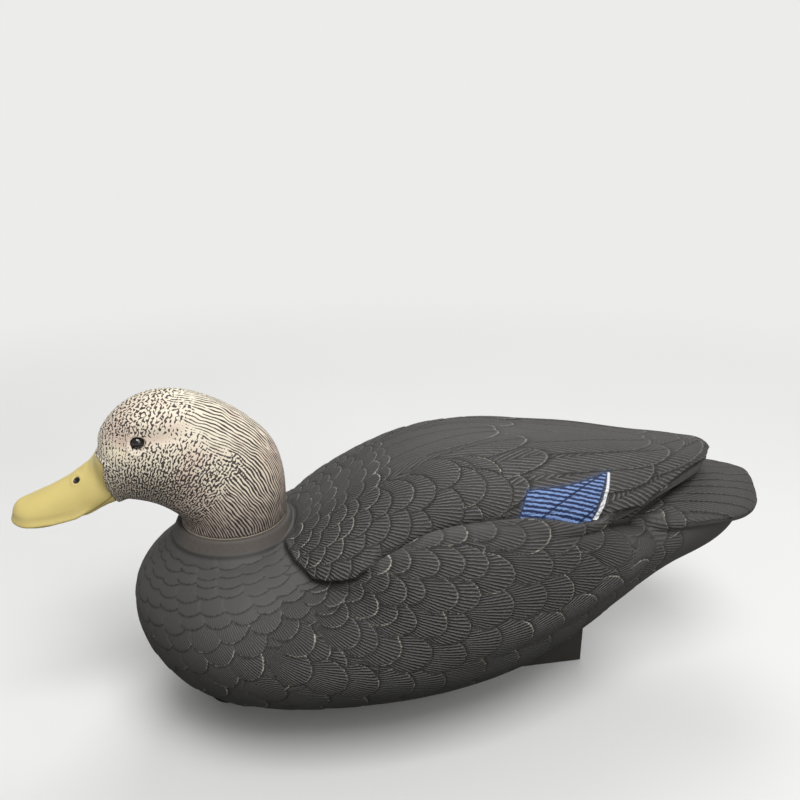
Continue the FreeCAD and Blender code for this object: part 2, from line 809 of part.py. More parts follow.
# Throat and chin points, nape and crown points, and the half-width between them, from the
# neck's foot round to the face, as measured from the neck axis at the head's foot on a head
# whose neck and eyes stand as HEAD_PATTERN says.
HEAD_RINGS = (
    ((-34, 0), (34, 0), 34),
    ((-35.5, 8), (34.2, 19), 34),
    ((-43, 13.5), (32.5, 35.5), 33.5),
    ((-47.5, 15.5), (27.5, 50), 32.5),
    ((-52, 17), (17, 63), 31.5),
    ((-57, 18.2), (1, 75.5), 30.5),
    ((-62, 19), (-20, 85.5), 29.5),
    ((-66.5, 20), (-38, 88.2), 28.5),
    ((-70.5, 21.5), (-56, 84.2), 26.5),
    ((-74, 25), (-68.5, 75.5), 22),
    ((-77.5, 33), (-77.3, 64), 15),
)
FACE_TIP = (-80, 50)
HEAD_PATTERN = {"neck_radius": 34.0, "eye_rise": 63.5, "bill_root": -65.0}


def head_foot():
    return size("collar_top") + size("head_gap")


def girth_scale():
    return size("neck_radius") / HEAD_PATTERN["neck_radius"]


def head_point(ahead, rise):
    """A point of the pattern head on the middle plane, brought to this head's size."""
    tall = (size("eye_height") - head_foot()) / HEAD_PATTERN["eye_rise"]
    return Vector(neck_axis() + ahead * girth_scale(), 0, head_foot() + rise * tall)


def head_ring(throat, nape, half_width, inset):
    start, end = head_point(*throat), head_point(*nape)
    middle = (start + end) / 2
    reach = (end - start) / 2
    long_half = reach.Length - inset
    wide = half_width * girth_scale() - inset
    along = reach.normalize()
    points = []
    for i in range(SECTION_POINTS):
        angle = 2 * math.pi * i / SECTION_POINTS
        points.append(middle + along * (long_half * math.cos(angle))
                      + Vector(0, wide * math.sin(angle), 0))
    return points


def head_mass(inset=0.0):
    rings = HEAD_RINGS if not inset else HEAD_RINGS[1:]
    sections = [head_ring(*ring, inset) for ring in rings]
    if inset:
        return hollow(sections)
    return skin(sections, None, head_point(*FACE_TIP))


# The bill's half-width and the heights of its ridge, widest line and underside above the
# head's foot, by share of the way from the tip to the root inside the face.
BILL_HALF_WIDTH = ((0, 15.5), (.17, 16.5), (.43, 15.5), (.71, 14.5), (1, 12))
BILL_RIDGE = ((0, 17), (.07, 21), (.17, 24), (.31, 28.2), (.44, 32.2), (.59, 36.6),
              (.71, 41.8), (.83, 47.5), (1, 51))
BILL_WIDEST = ((0, 11), (.17, 11), (.44, 12), (.71, 16.5), (1, 23))
BILL_UNDERSIDE = ((0, 7.5), (.17, 6), (.34, 6), (.57, 10), (.83, 17), (1, 20))
BILL_ROUND_END = .23
BILL_RINGS = 7
BILL_FULLNESS = 2.2


def bill():
    """The spatulate bill: rings across X from the rounded tip to inside the face."""
    tip = -size("bill_tip_reach")
    length = head_point(HEAD_PATTERN["bill_root"], 0).x - tip
    half_width, ridge, widest, underside = [
        curve(table) for table in (BILL_HALF_WIDTH, BILL_RIDGE, BILL_WIDEST, BILL_UNDERSIDE)]
    places = [BILL_ROUND_END * (1 - math.cos(math.radians(a))) for a in END_ANGLES]
    places += [BILL_ROUND_END + (1 - BILL_ROUND_END) * i / (BILL_RINGS - 1)
               for i in range(BILL_RINGS)]
    rings = []
    for place in places:
        x = tip + place * length
        middle = head_point(0, widest(place)).z
        closing = rounded(place, BILL_ROUND_END / 3)
        up = (head_point(0, ridge(place)).z - middle) * closing
        down = (middle - head_point(0, underside(place)).z) * closing
        wide = half_width(place) * girth_scale() * rounded(place, BILL_ROUND_END)
        points = []
        for i in range(SECTION_POINTS):
            angle = 2 * math.pi * i / SECTION_POINTS
            c, d = math.cos(angle), math.sin(angle)
            rise = up if d >= 0 else down
            points.append(Vector(x, wide * signed_power(c, 2 / BILL_FULLNESS),
                                 middle + rise * signed_power(d, 2 / BILL_FULLNESS)))
        rings.append(points)
    return skin(rings, Vector(tip, 0, head_point(0, widest(0)).z), None)


def eye_placement(side):
    """Eye frames point out of the cheek, turned a little forward and up."""
    turn = Rotation(Vector(0, 0, 1), -side * size("eye_turn"))
    face = Rotation(Vector(1, 0, 0), -side * 90)
    lean = Rotation(Vector(1, 0, 0), side * size("eye_lean"))
    base = Vector(size("eye_x"), side * size("eye_seat"), size("eye_height"))
    return Placement(base, turn.multiply(lean).multiply(face))


def head():
    x = neck_axis()
    foot = head_foot()
    base = size("collar_top") - size("plug_depth")
    over = size("tool_over")
    plug = cylinder(size("plug_radius"), base, foot + size("socket_floor"), x)
    mass = head_mass().fuse([bill(), plug])
    solid_neck = cylinder(2 * size("neck_radius"), 0, foot + size("neck_solid"), x)
    mass = mass.cut(head_mass(size("wall")).cut(solid_neck))
    mass = mass.cut(cylinder(size("insert_radius"), base - over,
                             base + size("insert_length"), x))
    for side in (-1, 1):
        seat = Part.makeCylinder(size("eye_radius") + size("seat_fit"), size("eye_seat"))
        post = cylinder(size("eye_radius") + size("eye_post_wall"),
                        -size("eye_post_depth"), size("eye_post_rise"))
        for shape in (seat, post):
            shape.Placement = eye_placement(side)
        backing = post.common(head_mass())
        mass = mass.fuse(backing).cut(seat)
    return add_feature("head", mass.removeSplitter())


def eye(name, side):
    """A glass eye: a short shank with a domed front, seated flat in its socket."""
    body = new_body(name)
    body.Placement = eye_placement(side)
    sketch = body.newObject("Sketcher::SketchObject", name + "_profile")
    attach(body, sketch, "XZ_Plane")
    radius, shank, bulge = size("eye_radius"), size("eye_shank"), size("eye_bulge")
    top, rim, foot = Vector(0, shank + bulge, 0), Vector(radius, shank, 0), Vector(radius, 0, 0)
    ball = (radius ** 2 + bulge ** 2) / (2 * bulge)
    centre = Vector(0, shank + bulge - ball, 0)
    middle = (rim - centre).normalize() + Vector(0, 1, 0)
    on_arc = centre + middle.normalize() * ball
    sketch.addGeometry(Part.LineSegment(Vector(), foot), False)
    sketch.addGeometry(Part.LineSegment(foot, rim), False)
    sketch.addGeometry(Part.Arc(rim, on_arc, top), False)
    sketch.addGeometry(Part.LineSegment(top, Vector()), False)
    arc_start = 1 if (sketch.Geometry[2].StartPoint - rim).Length < .01 else 2
    Constraint = Sketcher.Constraint
    sketch.addConstraint(Constraint("Coincident", 0, 1, -1, 1))
    sketch.addConstraint(Constraint("Coincident", 0, 2, 1, 1))
    sketch.addConstraint(Constraint("Coincident", 1, 2, 2, arc_start))
    sketch.addConstraint(Constraint("Coincident", 2, 3 - arc_start, 3, 1))
    sketch.addConstraint(Constraint("Coincident", 3, 2, 0, 1))
    sketch.addConstraint(Constraint("Horizontal", 0))
    sketch.addConstraint(Constraint("Vertical", 1))
    sketch.addConstraint(Constraint("Vertical", 3))
    sketch.addConstraint(Constraint("PointOnObject", 2, 3, -2))
    for index, text, number in ((0, "sizes.eye_radius", radius), (1, "sizes.eye_shank", shank)):
        place = sketch.addConstraint(Constraint("Distance", index, number))
        sketch.setExpression("Constraints[%d]" % place, text)
    place = sketch.addConstraint(Constraint("Distance", 3, shank + bulge))
    sketch.setExpression("Constraints[%d]" % place, "sizes.eye_shank + sizes.eye_bulge")
    revolve(body, sketch, name + "_dome")
    return body


# ---------------------------------------------------------------- the whole decoy

body_shell()
keel()
ballast_bar("ballast_front", -1)
ballast_bar("ballast_rear", 1)
keel_screws()
eyelet("front_line_eyelet", "front_hole_x")
eyelet("rear_line_eyelet", "rear_hole_x")
drain_plug()
bolt_tube()
swivel_washer()
head()
eye("eye_left", -1)
eye("eye_right", 1)
head_insert()
head_bolt()
bolt_washer()
spring_washer()
doc.recompute()

for item in doc.Objects:
    if "Invalid" in item.State or "Error" in item.State:
        raise RuntimeError("%s failed: %s" % (item.Label, item.State))
for item in nodes:
    if item.Shape.isNull() or not item.Shape.isValid():
        raise RuntimeError("%s has no valid shape" % item.Label)

os.makedirs("parts", exist_ok=True)
for item in nodes:
    item.Shape.exportStep("parts/%s.step" % item.Label)
    box = item.Shape.BoundBox
    print("%-18s solids %d  volume %10.1f  x %7.1f %7.1f  y %7.1f %7.1f  z %7.1f %7.1f" % (
        item.Label, len(item.Shape.Solids), item.Shape.Volume,
        box.XMin, box.XMax, box.YMin, box.YMax, box.ZMin, box.ZMax))
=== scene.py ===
"""The looks of a floating duck decoy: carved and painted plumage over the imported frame."""
import math
import random
from functools import partial

import bmesh
import bpy
import numpy as np
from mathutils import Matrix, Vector
from mathutils.bvhtree import BVHTree

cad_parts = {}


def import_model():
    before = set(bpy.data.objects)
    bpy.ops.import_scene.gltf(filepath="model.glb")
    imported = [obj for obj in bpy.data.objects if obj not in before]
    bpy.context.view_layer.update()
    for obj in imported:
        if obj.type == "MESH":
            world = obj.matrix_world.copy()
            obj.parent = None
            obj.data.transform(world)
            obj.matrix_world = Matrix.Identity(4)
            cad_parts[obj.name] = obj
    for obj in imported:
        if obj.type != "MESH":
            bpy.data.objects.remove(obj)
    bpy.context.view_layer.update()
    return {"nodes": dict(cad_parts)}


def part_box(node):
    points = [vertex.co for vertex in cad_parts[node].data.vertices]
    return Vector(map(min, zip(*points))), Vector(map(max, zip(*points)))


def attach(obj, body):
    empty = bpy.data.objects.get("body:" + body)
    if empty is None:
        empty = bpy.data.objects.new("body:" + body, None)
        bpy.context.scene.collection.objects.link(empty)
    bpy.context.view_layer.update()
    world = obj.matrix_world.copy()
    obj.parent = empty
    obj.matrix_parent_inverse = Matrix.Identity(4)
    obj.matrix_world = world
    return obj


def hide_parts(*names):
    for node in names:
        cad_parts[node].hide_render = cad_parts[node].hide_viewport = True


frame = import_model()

MM = 0.001
NODES = frame["nodes"]

# Driving places in millimetres, from the frame's own pieces. +X runs to the tail, +Z up.
washer_low, washer_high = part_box("swivel_washer")
NECK = np.array([(washer_low.x + washer_high.x) / 2, 0, washer_high.z]) / MM
COLLAR_TOP = NECK[2]
COLLAR_RADIUS = 40.0
hull_low, hull_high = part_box("body_shell")
BREAST, TAIL_END = hull_low.x / MM, hull_high.x / MM
eye_low, eye_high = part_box("eye_right")
EYE = np.array((eye_low + eye_high) / 2) / MM
BILL_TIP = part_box("head")[0].x / MM

# The grain of the two carved skins, in millimetres.
BODY_GRAIN = 0.8
HEAD_GRAIN = 0.6


# ---- small numeric helpers

def smooth(value, low, high):
    """0 below low, 1 above high, an easy curve between."""
    share = np.clip((np.asarray(value, float) - low) / (high - low), 0, 1)
    return share * share * (3 - 2 * share)


def bell(value, centre, half):
    """1 at the centre, about a third at half on either side, then soon 0."""
    return np.exp(-((value - centre) / half) ** 2)


def along_curve(points, x):
    """Straight runs through (station, value) pairs."""
    stations, values = zip(*points)
    return np.interp(x, stations, values)


def unit(vectors):
    """The same directions with length 1."""
    vectors = np.asarray(vectors, float)
    length = np.linalg.norm(vectors, axis=-1, keepdims=True)
    return vectors / np.maximum(length, 1e-9)


def bump_at(points, centre, radii):
    """A soft bump of height 1 at centre that fades over an ellipsoid."""
    away = ((points - np.array(centre)) / np.array(radii)) ** 2
    return np.exp(-away.sum(1))


# ---- skins from the frame

def close_holes(work):
    """Closes every open rim with a fan of faces to the middle of the rim."""
    waiting = {edge for edge in work.edges if edge.is_boundary}
    while waiting:
        rim, reached = [], [waiting.pop()]
        while reached:
            edge = reached.pop()
            rim.append(edge)
            for corner in edge.verts:
                near = [e for e in corner.link_edges if e in waiting]
                waiting.difference_update(near)
                reached.extend(near)
        corners = {corner for edge in rim for corner in edge.verts}
        middle = work.verts.new(sum((c.co for c in corners), Vector()) / len(corners))
        for edge in rim:
            work.faces.new((edge.verts[1], edge.verts[0], middle))


WELD = 1e-6  # metres: corners nearer than this become one
RAY_START = 2e-5  # metres: how far off its face a ray starts
RAYS = 36  # tried from each face that looks straight at another one
FEWEST_FREE = 2  # a face with fewer free rays is inside


def outer_skin(node):
    """The node's outside faces only, with its holes closed."""
    work = bmesh.new()
    work.from_mesh(NODES[node].data)
    bmesh.ops.remove_doubles(work, verts=work.verts, dist=WELD)
    work.normal_update()
    tree = BVHTree.FromBMesh(work)
    rays = random.Random(5)
    hidden = []
    for face in work.faces:
        start = face.calc_center_median() + face.normal * RAY_START
        if tree.ray_cast(start, face.normal)[0] is None:
            continue
        free = 0
        for _ in range(RAYS):
            way = Vector([rays.gauss(0, 1) for _ in range(3)]).normalized()
            if way.dot(face.normal) < 0:
                way.negate()
            if tree.ray_cast(start, way)[0] is None:
                free += 1
        if free < FEWEST_FREE:
            hidden.append(face)
    bmesh.ops.delete(work, geom=hidden, context="FACES")
    close_holes(work)
    mesh = bpy.data.meshes.new(node + "_skin")
    work.to_mesh(mesh)
    work.free()
    return mesh


def new_object(name, data):
    item = bpy.data.objects.new(name, data)
    bpy.context.scene.collection.objects.link(item)
    return item


def read(items, key, width, kind=np.float32):
    """One property of a mesh's points or edges, a row for each."""
    flat = np.empty(len(items) * width, kind)
    items.foreach_get(key, flat)
    return flat.reshape(-1, width)


class Skin:
    """An evenly grained copy of a node's outside, held as arrays in millimetres."""

    def __init__(self, name, node, grain):
        source = outer_skin(node)
        self.object = new_object(name, source)
        remesh = self.object.modifiers.new("grain", "REMESH")
        remesh.mode = "VOXEL"
        remesh.voxel_size = grain * MM
        graph = bpy.context.evaluated_depsgraph_get()
        self.mesh = bpy.data.meshes.new_from_object(self.object.evaluated_get(graph))
        self.object.modifiers.clear()
        self.object.data = self.mesh
        self.points = read(self.mesh.vertices, "co", 3).astype(float) / MM
        self.edges = read(self.mesh.edges, "vertices", 2, np.int32)
        self.degree = np.bincount(self.edges.ravel(), minlength=len(self.points)).astype(float)
        self.settle(source)

    def settle(self, source):
        """Brings the grain back onto the exact surface."""
        tree = BVHTree.FromPolygons([v.co for v in source.vertices],
                                    [p.vertices for p in source.polygons])
        for i, point in enumerate(self.points):
            self.points[i] = np.array(tree.find_nearest(Vector(point * MM))[0]) / MM

    @staticmethod
    def total(column, a, b):
        """The sum over each point's neighbours, along the edges from a to b."""
        count = len(column)
        return np.bincount(a, column[b], count) + np.bincount(b, column[a], count)

    def spread(self, values):
        """Each value's mean over its neighbours."""
        values = np.asarray(values, float)
        columns = values.reshape(len(values), -1)
        out = np.empty_like(columns)
        a, b = self.edges.T
        for k in range(columns.shape[1]):
            column = columns[:, k]
            out[:, k] = self.total(column, a, b) / self.degree
        return out.reshape(values.shape)

    def relax(self, rounds, weight=1.0):
        """Draws each point towards its neighbours' mean, as far as its weight says."""
        weight = np.broadcast_to(weight, len(self.points))
        live = np.flatnonzero(weight > 0.01)
        a, b = self.edges[(weight > 0.01)[self.edges].any(1)].T
        share = 0.6 * weight[live]
        for _ in range(rounds):
            for column in self.points.T:
                mean = self.total(column, a, b)[live] / self.degree[live]
                column[live] += (mean - column[live]) * share

    def normals(self):
        """Each point's normal as the skin stands now."""
        self.write_points()
        return read(self.mesh.vertices, "normal", 3).astype(float)

    def write_points(self):
        self.mesh.vertices.foreach_set("co", (self.points * MM).astype(np.float32).ravel())
        self.mesh.update()

    def write(self, **fields):
        """Stores one value a point for each field, for the paint to read."""
        for name, values in fields.items():
            layer = self.mesh.attributes.new(name, "FLOAT", "POINT")
            layer.data.foreach_set("value", np.asarray(values, np.float32))

    def finish(self, material, body, *nodes):
        """Puts the paint on and lets the skin ride its body in place of its CAD nodes."""
        self.write_points()
        self.mesh.shade_smooth()
        self.mesh.materials.clear()
        self.mesh.materials.append(material)
        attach(self.object, body)
        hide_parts(*nodes)


# ---- plumage

FAR = 6.0  # millimetres: further than this from an edge or a quill is all the same
FAN_HUB = 0.55  # a fan's barbs meet this share of its length behind its base


class Plumage:
    """Feathers laid on a skin like tiles, from the rearmost to the foremost.

    Each point keeps only its topmost feather: its height there, the distances from its edge
    and its quill, a count of barbs, its tone and rim, and the shade of feathers above it.
    """

    def __init__(self, skin):
        self.skin = skin
        self.points = skin.points
        self.normals = skin.normals()
        count = len(self.points)
        self.height, self.barb, self.rim, self.under, self.relief = np.zeros((5, count))
        self.edge, self.quill = np.full((2, count), FAR)
        self.tone = np.full(count, 0.5)
        self.owner = np.full(count, -1)
        self.total = 0

    def stamp(self, index, along, across, length, width, pitch, lift, tone, rim, turn=0.5,
              root=0.5, cast=2.0, cast_from=0.45, shade=1.0, fanned=True, slant=24, relief=1.0):
        """Lays one feather over the points of index, placed along and across it."""
        share = along / length
        wide = root + (1 - root) * smooth(share, 0, turn)
        tip = np.clip((share - turn) / (1 - turn), 0, None)
        reach = np.sqrt((across / (width / 2) / wide) ** 2 + tip ** 2)
        inside = (share > 0) & (reach < 1)
        gap = (reach - 1) * width / 2
        shaded = (share > cast_from) & (reach >= 1) & (gap < cast)
        near = index[shaded]
        self.under[near] = np.maximum(self.under[near], shade * (1 - gap[shaded] / cast))
        here = index[inside]
        if not len(here):
            return
        share, across, reach = share[inside], across[inside], reach[inside]
        if fanned:
            spread = np.arctan2(across, (share + FAN_HUB) * length)
            self.barb[here] = spread * (1 + FAN_HUB) * length / pitch
            self.quill[here] = FAR
        else:
            slant = math.radians(slant)
            run = share * length * math.sin(slant) - abs(across) * math.cos(slant)
            self.barb[here] = run / pitch
            self.quill[here] = abs(across)
        rise = (0.1 + 0.9 * share ** 1.3) * (1 - 0.35 * reach ** 3)
        self.height[here] = lift * rise
        self.edge[here] = (1 - reach) * width / 2
        self.tone[here] = tone
        self.rim[here] = rim * smooth(share, 0.35, 0.75)
        self.under[here] = 0
        self.relief[here] = relief
        self.owner[here] = self.total
        self.total += 1

    def fan(self, seed, axis, shape, region):
        """A short round feather whose tip is at the seed point."""
        normal = self.normals[seed]
        axis = unit(axis - normal * (axis @ normal))
        side = np.cross(normal, axis)
        tip = self.points[seed]
        near = region[np.abs(self.points[region] - tip).max(1) < 1.5 * shape["length"]]
        near = near[self.normals[near] @ normal > 0.1]
        offset = self.points[near] - tip
        self.stamp(near, offset @ axis + shape["length"], offset @ side, **shape)

    def seams(self):
        """1 on points where two feathers meet."""
        first, second = self.owner[self.skin.edges].T
        seam = np.zeros(len(self.points))
        seam[self.skin.edges[first != second]] = 1
        return seam


ROW_HALF = 3.0  # millimetres: half the band that gives a row its girth
TIP_HALF = 1.6  # half the band that a fan's tip is picked from
TIP_MISS = 4.0  # a fan that would miss its place by more is left out


def fan_rows(plumage, region, rows, width_at, shape_at, row_seed):
    """Rows of fans about the neck, the rearmost row first.

    A row is a ring of points at one distance from the neck. Its columns are even steps of
    the turn about an axis that points down at the neck and leans over to the body's length.
    """
    chance = random.Random(row_seed)
    points = plumage.points
    from_neck = points - NECK
    away = np.linalg.norm(from_neck, axis=1)
    lean = smooth(away, 40, 130) * math.pi / 2
    rise = from_neck[:, 0] * np.cos(lean) + from_neck[:, 2] * np.sin(lean)
    turn = np.arctan2(points[:, 1], rise)
    girth = np.hypot(points[:, 1], rise)
    by_distance = np.argsort(away)
    sorted_away = away[by_distance]

    def ring_at(place, half):
        first, last = np.searchsorted(sorted_away, (place - half, place + half))
        return by_distance[first:last]

    for number, distance in reversed(list(enumerate(rows))):
        band = np.intersect1d(ring_at(distance, ROW_HALF), region)
        if not len(band):
            continue
        columns = round(2 * math.pi * np.median(girth[band]) / width_at(distance))
        step = 2 * math.pi / columns
        for column in range(columns):
            angle = (column + 0.5 * (number % 2) + chance.uniform(-0.08, 0.08)) * step - math.pi
            place = distance + chance.uniform(-0.05, 0.05) * width_at(distance)
            ring = ring_at(place, TIP_HALF)
            if not len(ring):
                continue
            miss = np.abs((turn[ring] - angle + math.pi) % (2 * math.pi) - math.pi)
            best = np.argmin(miss)
            if miss[best] * girth[ring[best]] > TIP_MISS:
                continue
            seed = ring[best]
            shape = shape_at(points[seed], distance, girth[seed] * step, chance)
            if shape is None:
                continue
            x, _, z = points[seed]
            sweep = 0.25 + 0.55 * smooth(x, -130, -70) * smooth(120 - z, 0, 50)
            axis = unit(points[seed] - NECK) + np.array([sweep, 0, chance.uniform(-0.1, 0.1)])
            plumage.fan(seed, unit(axis), shape, region)


def rows_from(start, end, pitch):
    """Distances of the rows, a pitch apart that itself changes with distance."""
    rows = [start]
    while rows[-1] < end:
        rows.append(rows[-1] + pitch(rows[-1]))
    return rows


# The lower edge of the folded wing: how far it lies from the ridge of the back, by station.
WING_EDGE = ((-92, 0), (-87, 29), (-82, 46), (-72, 63), (-62, 73), (-54, 78), (-47, 81),
             (-32, 79), (0, 77), (60, 77), (90, 79), (105, 76), (119, 70), (139, 62.5),
             (151, 54), (183, 33), (205, 19), (217, 1))


RIDGE_STEP = 4.0  # millimetres between the stations that the ridge is read at
RIDGE_HALF = 3.0  # half the width of the strip that it is read from


def ridge_height(points):
    """The height of the back's ridge at each point's station."""
    stations = np.arange(BREAST, TAIL_END + RIDGE_STEP, RIDGE_STEP)
    middle = points[np.abs(points[:, 1]) < RIDGE_HALF]
    tops = [middle[np.abs(middle[:, 0] - x) < RIDGE_STEP, 2].max(initial=0) for x in stations]
    tops = np.convolve(np.pad(tops, 2, mode="edge"), np.ones(5) / 5, mode="valid")
    return np.interp(points[:, 0], stations, tops)


# Rows of fans by their distance from the neck: a row's pitch and a feather's width, then the
# barbs' pitch and the feathers' lift, below the wing and on it.
lower_pitch = partial(along_curve, ((40, 6.4), (90, 9), (140, 13), (200, 17.5), (260, 17),
                                    (340, 13)))
lower_width = partial(along_curve, ((40, 14), (90, 15), (140, 18), (200, 23), (260, 22),
                                    (340, 17)))
lower_barbs = partial(along_curve, ((60, 1.3), (110, 1.7), (170, 2.4), (300, 2.2)))
lower_lift = partial(along_curve, ((40, 0.7), (90, 0.8), (150, 1.4), (240, 1.4), (290, 0.6)))
wing_pitch = partial(along_curve, ((30, 8.0), (80, 10.5), (130, 13.5), (190, 17)))
wing_width = partial(along_curve, ((30, 12), (80, 15), (130, 18.5), (190, 22)))
wing_barbs = partial(along_curve, ((40, 1.8), (120, 2.5)))
FANS_END = 180  # station where the fans below the wing stop
COVERTS_END = 58  # station where the fans on the wing stop
BACK_HALF = 42  # on the back, this far from the middle, they stop at BACK_REACH
BACK_REACH = 112


def breast_and_flank_shape(point, distance, column, chance):
    """Smooth scales at the neck, finely barbed ones on the breast, bold ones on the flank."""
    x, _, z = point
    if x > FANS_END:
        return None
    low_front = smooth(-x, -50, 40) * smooth(118 - z, 0, 40)
    barbed = smooth(distance, 72, 112)
    bold = barbed * (0.4 + 0.6 * smooth(x, -125, -55))
    tone = chance.random()
    worn = 0.2 + 0.8 * low_front * round(chance.random()) + chance.random() ** 2
    return dict(length=2.2 * lower_pitch(distance), width=column * 1.4,
                pitch=lower_barbs(distance), lift=lower_lift(distance), relief=bold,
                tone=tone, rim=barbed * min(1.0, worn), cast=1.6 + 0.5 * bold,
                cast_from=0.75 - 0.25 * bold, shade=1.0 - 0.35 * bold)


def covert_shape(point, distance, column, chance):
    """Short round feathers over the shoulder and the front of the wing."""
    on_back = abs(point[1]) < BACK_HALF and distance > BACK_REACH
    if point[0] > COVERTS_END or on_back:
        return None
    return dict(length=2.1 * wing_pitch(distance), width=column * 1.35,
                pitch=wing_barbs(distance), lift=0.6 + 1.0 * smooth(distance, 40, 100),
                turn=0.45, shade=0.7, rim=0.1 + 0.8 * chance.random() ** 2,
                tone=chance.random())


# Long feathers of the folded wing, undermost first: base and tip as (station, distance from
# the ridge), width and bend. All lie on both wings.
PRIMARIES = (((95, 75), (216, 3), 24, 5), ((90, 60), (209, 3), 22, 3),
             ((84, 45), (196, 2), 22, 2))
SECONDARIES = (((44, 82), (104, 79), 13, 2), ((44, 77), (109, 70), 13, 2),
               ((46, 72), (115, 60), 13, 2), ((48, 66), (121, 51), 14, 1))
TERTIALS = (((16, 62), (158, 33), 30, 5), ((8, 46), (178, 16), 30, 4),
            ((2, 26), (170, 4), 30, 2))
SCAPULARS = (((-22, 64), (64, 57), 28, 2), ((-30, 50), (84, 32), 28, 3),
             ((-34, 32), (76, 13), 28, 2), ((-40, 12), (60, 3), 26, 0))
# The tail's are straight, and lie on one another from both sides in to the middle.
TAIL = [((138, 30 * share), (TAIL_END - 12 * share ** 2, 42 * share), 19, 0)
        for share in (1.25, 1.0, 0.8, 0.6, 0.4, 0.2, 0.0)]


def long_feathers(plumage, region, station, depth, feathers, lift, seed, **more):
    """Long feathers laid in the flat of (station, distance from the ridge) on both sides."""
    chance = random.Random(seed)
    for base, tip, width, bend in feathers:
        for side in (-1, 1):
            own = region[plumage.points[region, 1] * side >= 0]
            start = np.array(base, float) + [chance.uniform(-2, 2), chance.uniform(-1, 1)]
            run = np.array(tip, float) - start
            length = np.hypot(*run)
            ahead = run / length
            offset = np.stack([station[own], depth[own]], 1) - start
            along = offset @ ahead
            bow = bend * (1 - (2 * along / length - 1) ** 2)
            across = offset @ np.array([-ahead[1], ahead[0]]) - bow
            shape = dict(length=length, width=width, lift=lift, fanned=False, pitch=2.2,
                         turn=0.72, root=0.6, rim=0.2, tone=chance.random())
            plumage.stamp(own, along, across, **{**shape, **more})


def edge_distance(station, depth, line):
    """How far each place is outside the line, negative inside, and the nearest station."""
    place = np.stack([station, depth], 1)
    best = np.full(len(station), 999.0)
    nearest = np.zeros(len(station))
    for start, end in zip(np.array(line[:-1], float), np.array(line[1:], float)):
        run = end - start
        share = np.clip((place - start) @ run / (run @ run), 0, 1)
        foot = start + share[:, None] * run
        gap = np.linalg.norm(place - foot, axis=1)
        closer = gap < best
        best[closer] = gap[closer]
        nearest[closer] = foot[closer, 0]
    inside = (depth < along_curve(line, station)) & (station > line[0][0])
    return np.where(inside & (station < line[-1][0]), -best, best), nearest


# The blue patch's corners on the wing's side, as (station, distance from the ridge): its
# lower front, upper front, upper rear and lower rear. The white bar stands behind the rear.
BLUE_CORNERS = np.array([(52, 82), (62, 62), (119, 47), (98, 82)], float)
TOP_SAG = 3.6  # how far the patch's top line sags
BAR_BOW = 2.0  # how far the bar bows rearwards
BAR_GAP = 1.2  # from the patch's rear line to the bar's middle
# The quills that cross the patch, from end to end.
BLUE_QUILLS = (((60, 82), (115, 49)), ((86, 83), (119, 61)))
BLUE_PITCH = 2.7


def speculum_fields(station, depth):
    """Distances inside the blue patch and inside the white bar behind it, both in mm."""
    centre = BLUE_CORNERS.mean(0)
    upper_front, upper_rear, lower_rear = BLUE_CORNERS[1:]
    inside = np.full(len(station), 99.0)
    place = np.stack([station, depth], 1)
    for start, end in zip(BLUE_CORNERS, np.roll(BLUE_CORNERS, -1, 0)):
        run = unit(end - start)
        across = np.array([-run[1], run[0]])
        across *= np.sign((centre - start) @ across)
        share = np.clip((place - start) @ run / np.linalg.norm(end - start), 0, 1)
        is_top = (start == upper_front).all()
        sag = TOP_SAG * np.sin(share * math.pi) if is_top else 0.0
        inside = np.minimum(inside, (place - start) @ across - sag)
    run = unit(lower_rear - upper_rear)
    across = np.array([run[1], -run[0]])
    across *= np.sign((upper_rear - centre) @ across)
    behind = (place - upper_rear) @ across
    length = np.linalg.norm(lower_rear - upper_rear)
    reach = (place - upper_rear) @ run
    down = np.clip(reach / length, 0, 1)
    bow = BAR_BOW * np.sin(down * math.pi)
    half = 0.8 + 1.0 * down ** 2
    bar = np.minimum(half - np.abs(behind - bow - BAR_GAP),
                     np.minimum(reach + 1, length + 4 - reach))
    return inside, bar


def comb_speculum(plumage, station, depth, patch):
    """Lays the blue patch's own barbs and quills over what lies there."""
    away = np.full(len(station), FAR)
    for quill in BLUE_QUILLS:
        gap, _ = edge_distance(station, depth, quill)
        away = np.minimum(away, np.abs(gap))
    plumage.barb[patch] = (depth - 0.12 * station)[patch] / BLUE_PITCH
    plumage.quill[patch] = away[patch]
    plumage.edge[patch] = FAR
    plumage.rim[patch] = 0
    plumage.relief[patch] = 1.0


def relaxed_hull():
    """The hull's outside with its flanks, the wings' tips and every small step eased."""
    skin = Skin("feathered_body", "body_shell", BODY_GRAIN)
    scale = 1.0 / BODY_GRAIN ** 2
    x, y, z = skin.points.T
    front_flank = smooth(x, -95, -60) * (1 - smooth(x, 20, 60)) * (1 - smooth(z, 108, 124))
    rear_flank = smooth(x, 60, 100) * (1 - smooth(z, 96, 112))
    skin.relax(int(90 * scale), np.maximum(front_flank, rear_flank))
    tip = WING_EDGE[-1][0]
    at_tip = smooth(x, tip - 19, tip - 7) * (np.abs(y) < 26) * (1 - smooth(x, 222, 228))
    skin.relax(int(16 * scale), at_tip)
    from_axis = np.hypot(x - NECK[0], y)
    at_collar = 1 - smooth(from_axis, COLLAR_RADIUS + 2, COLLAR_RADIUS + 6)
    skin.relax(int(5 * scale) + 1, 1 - at_collar * smooth(z, 120, 126))
    return skin


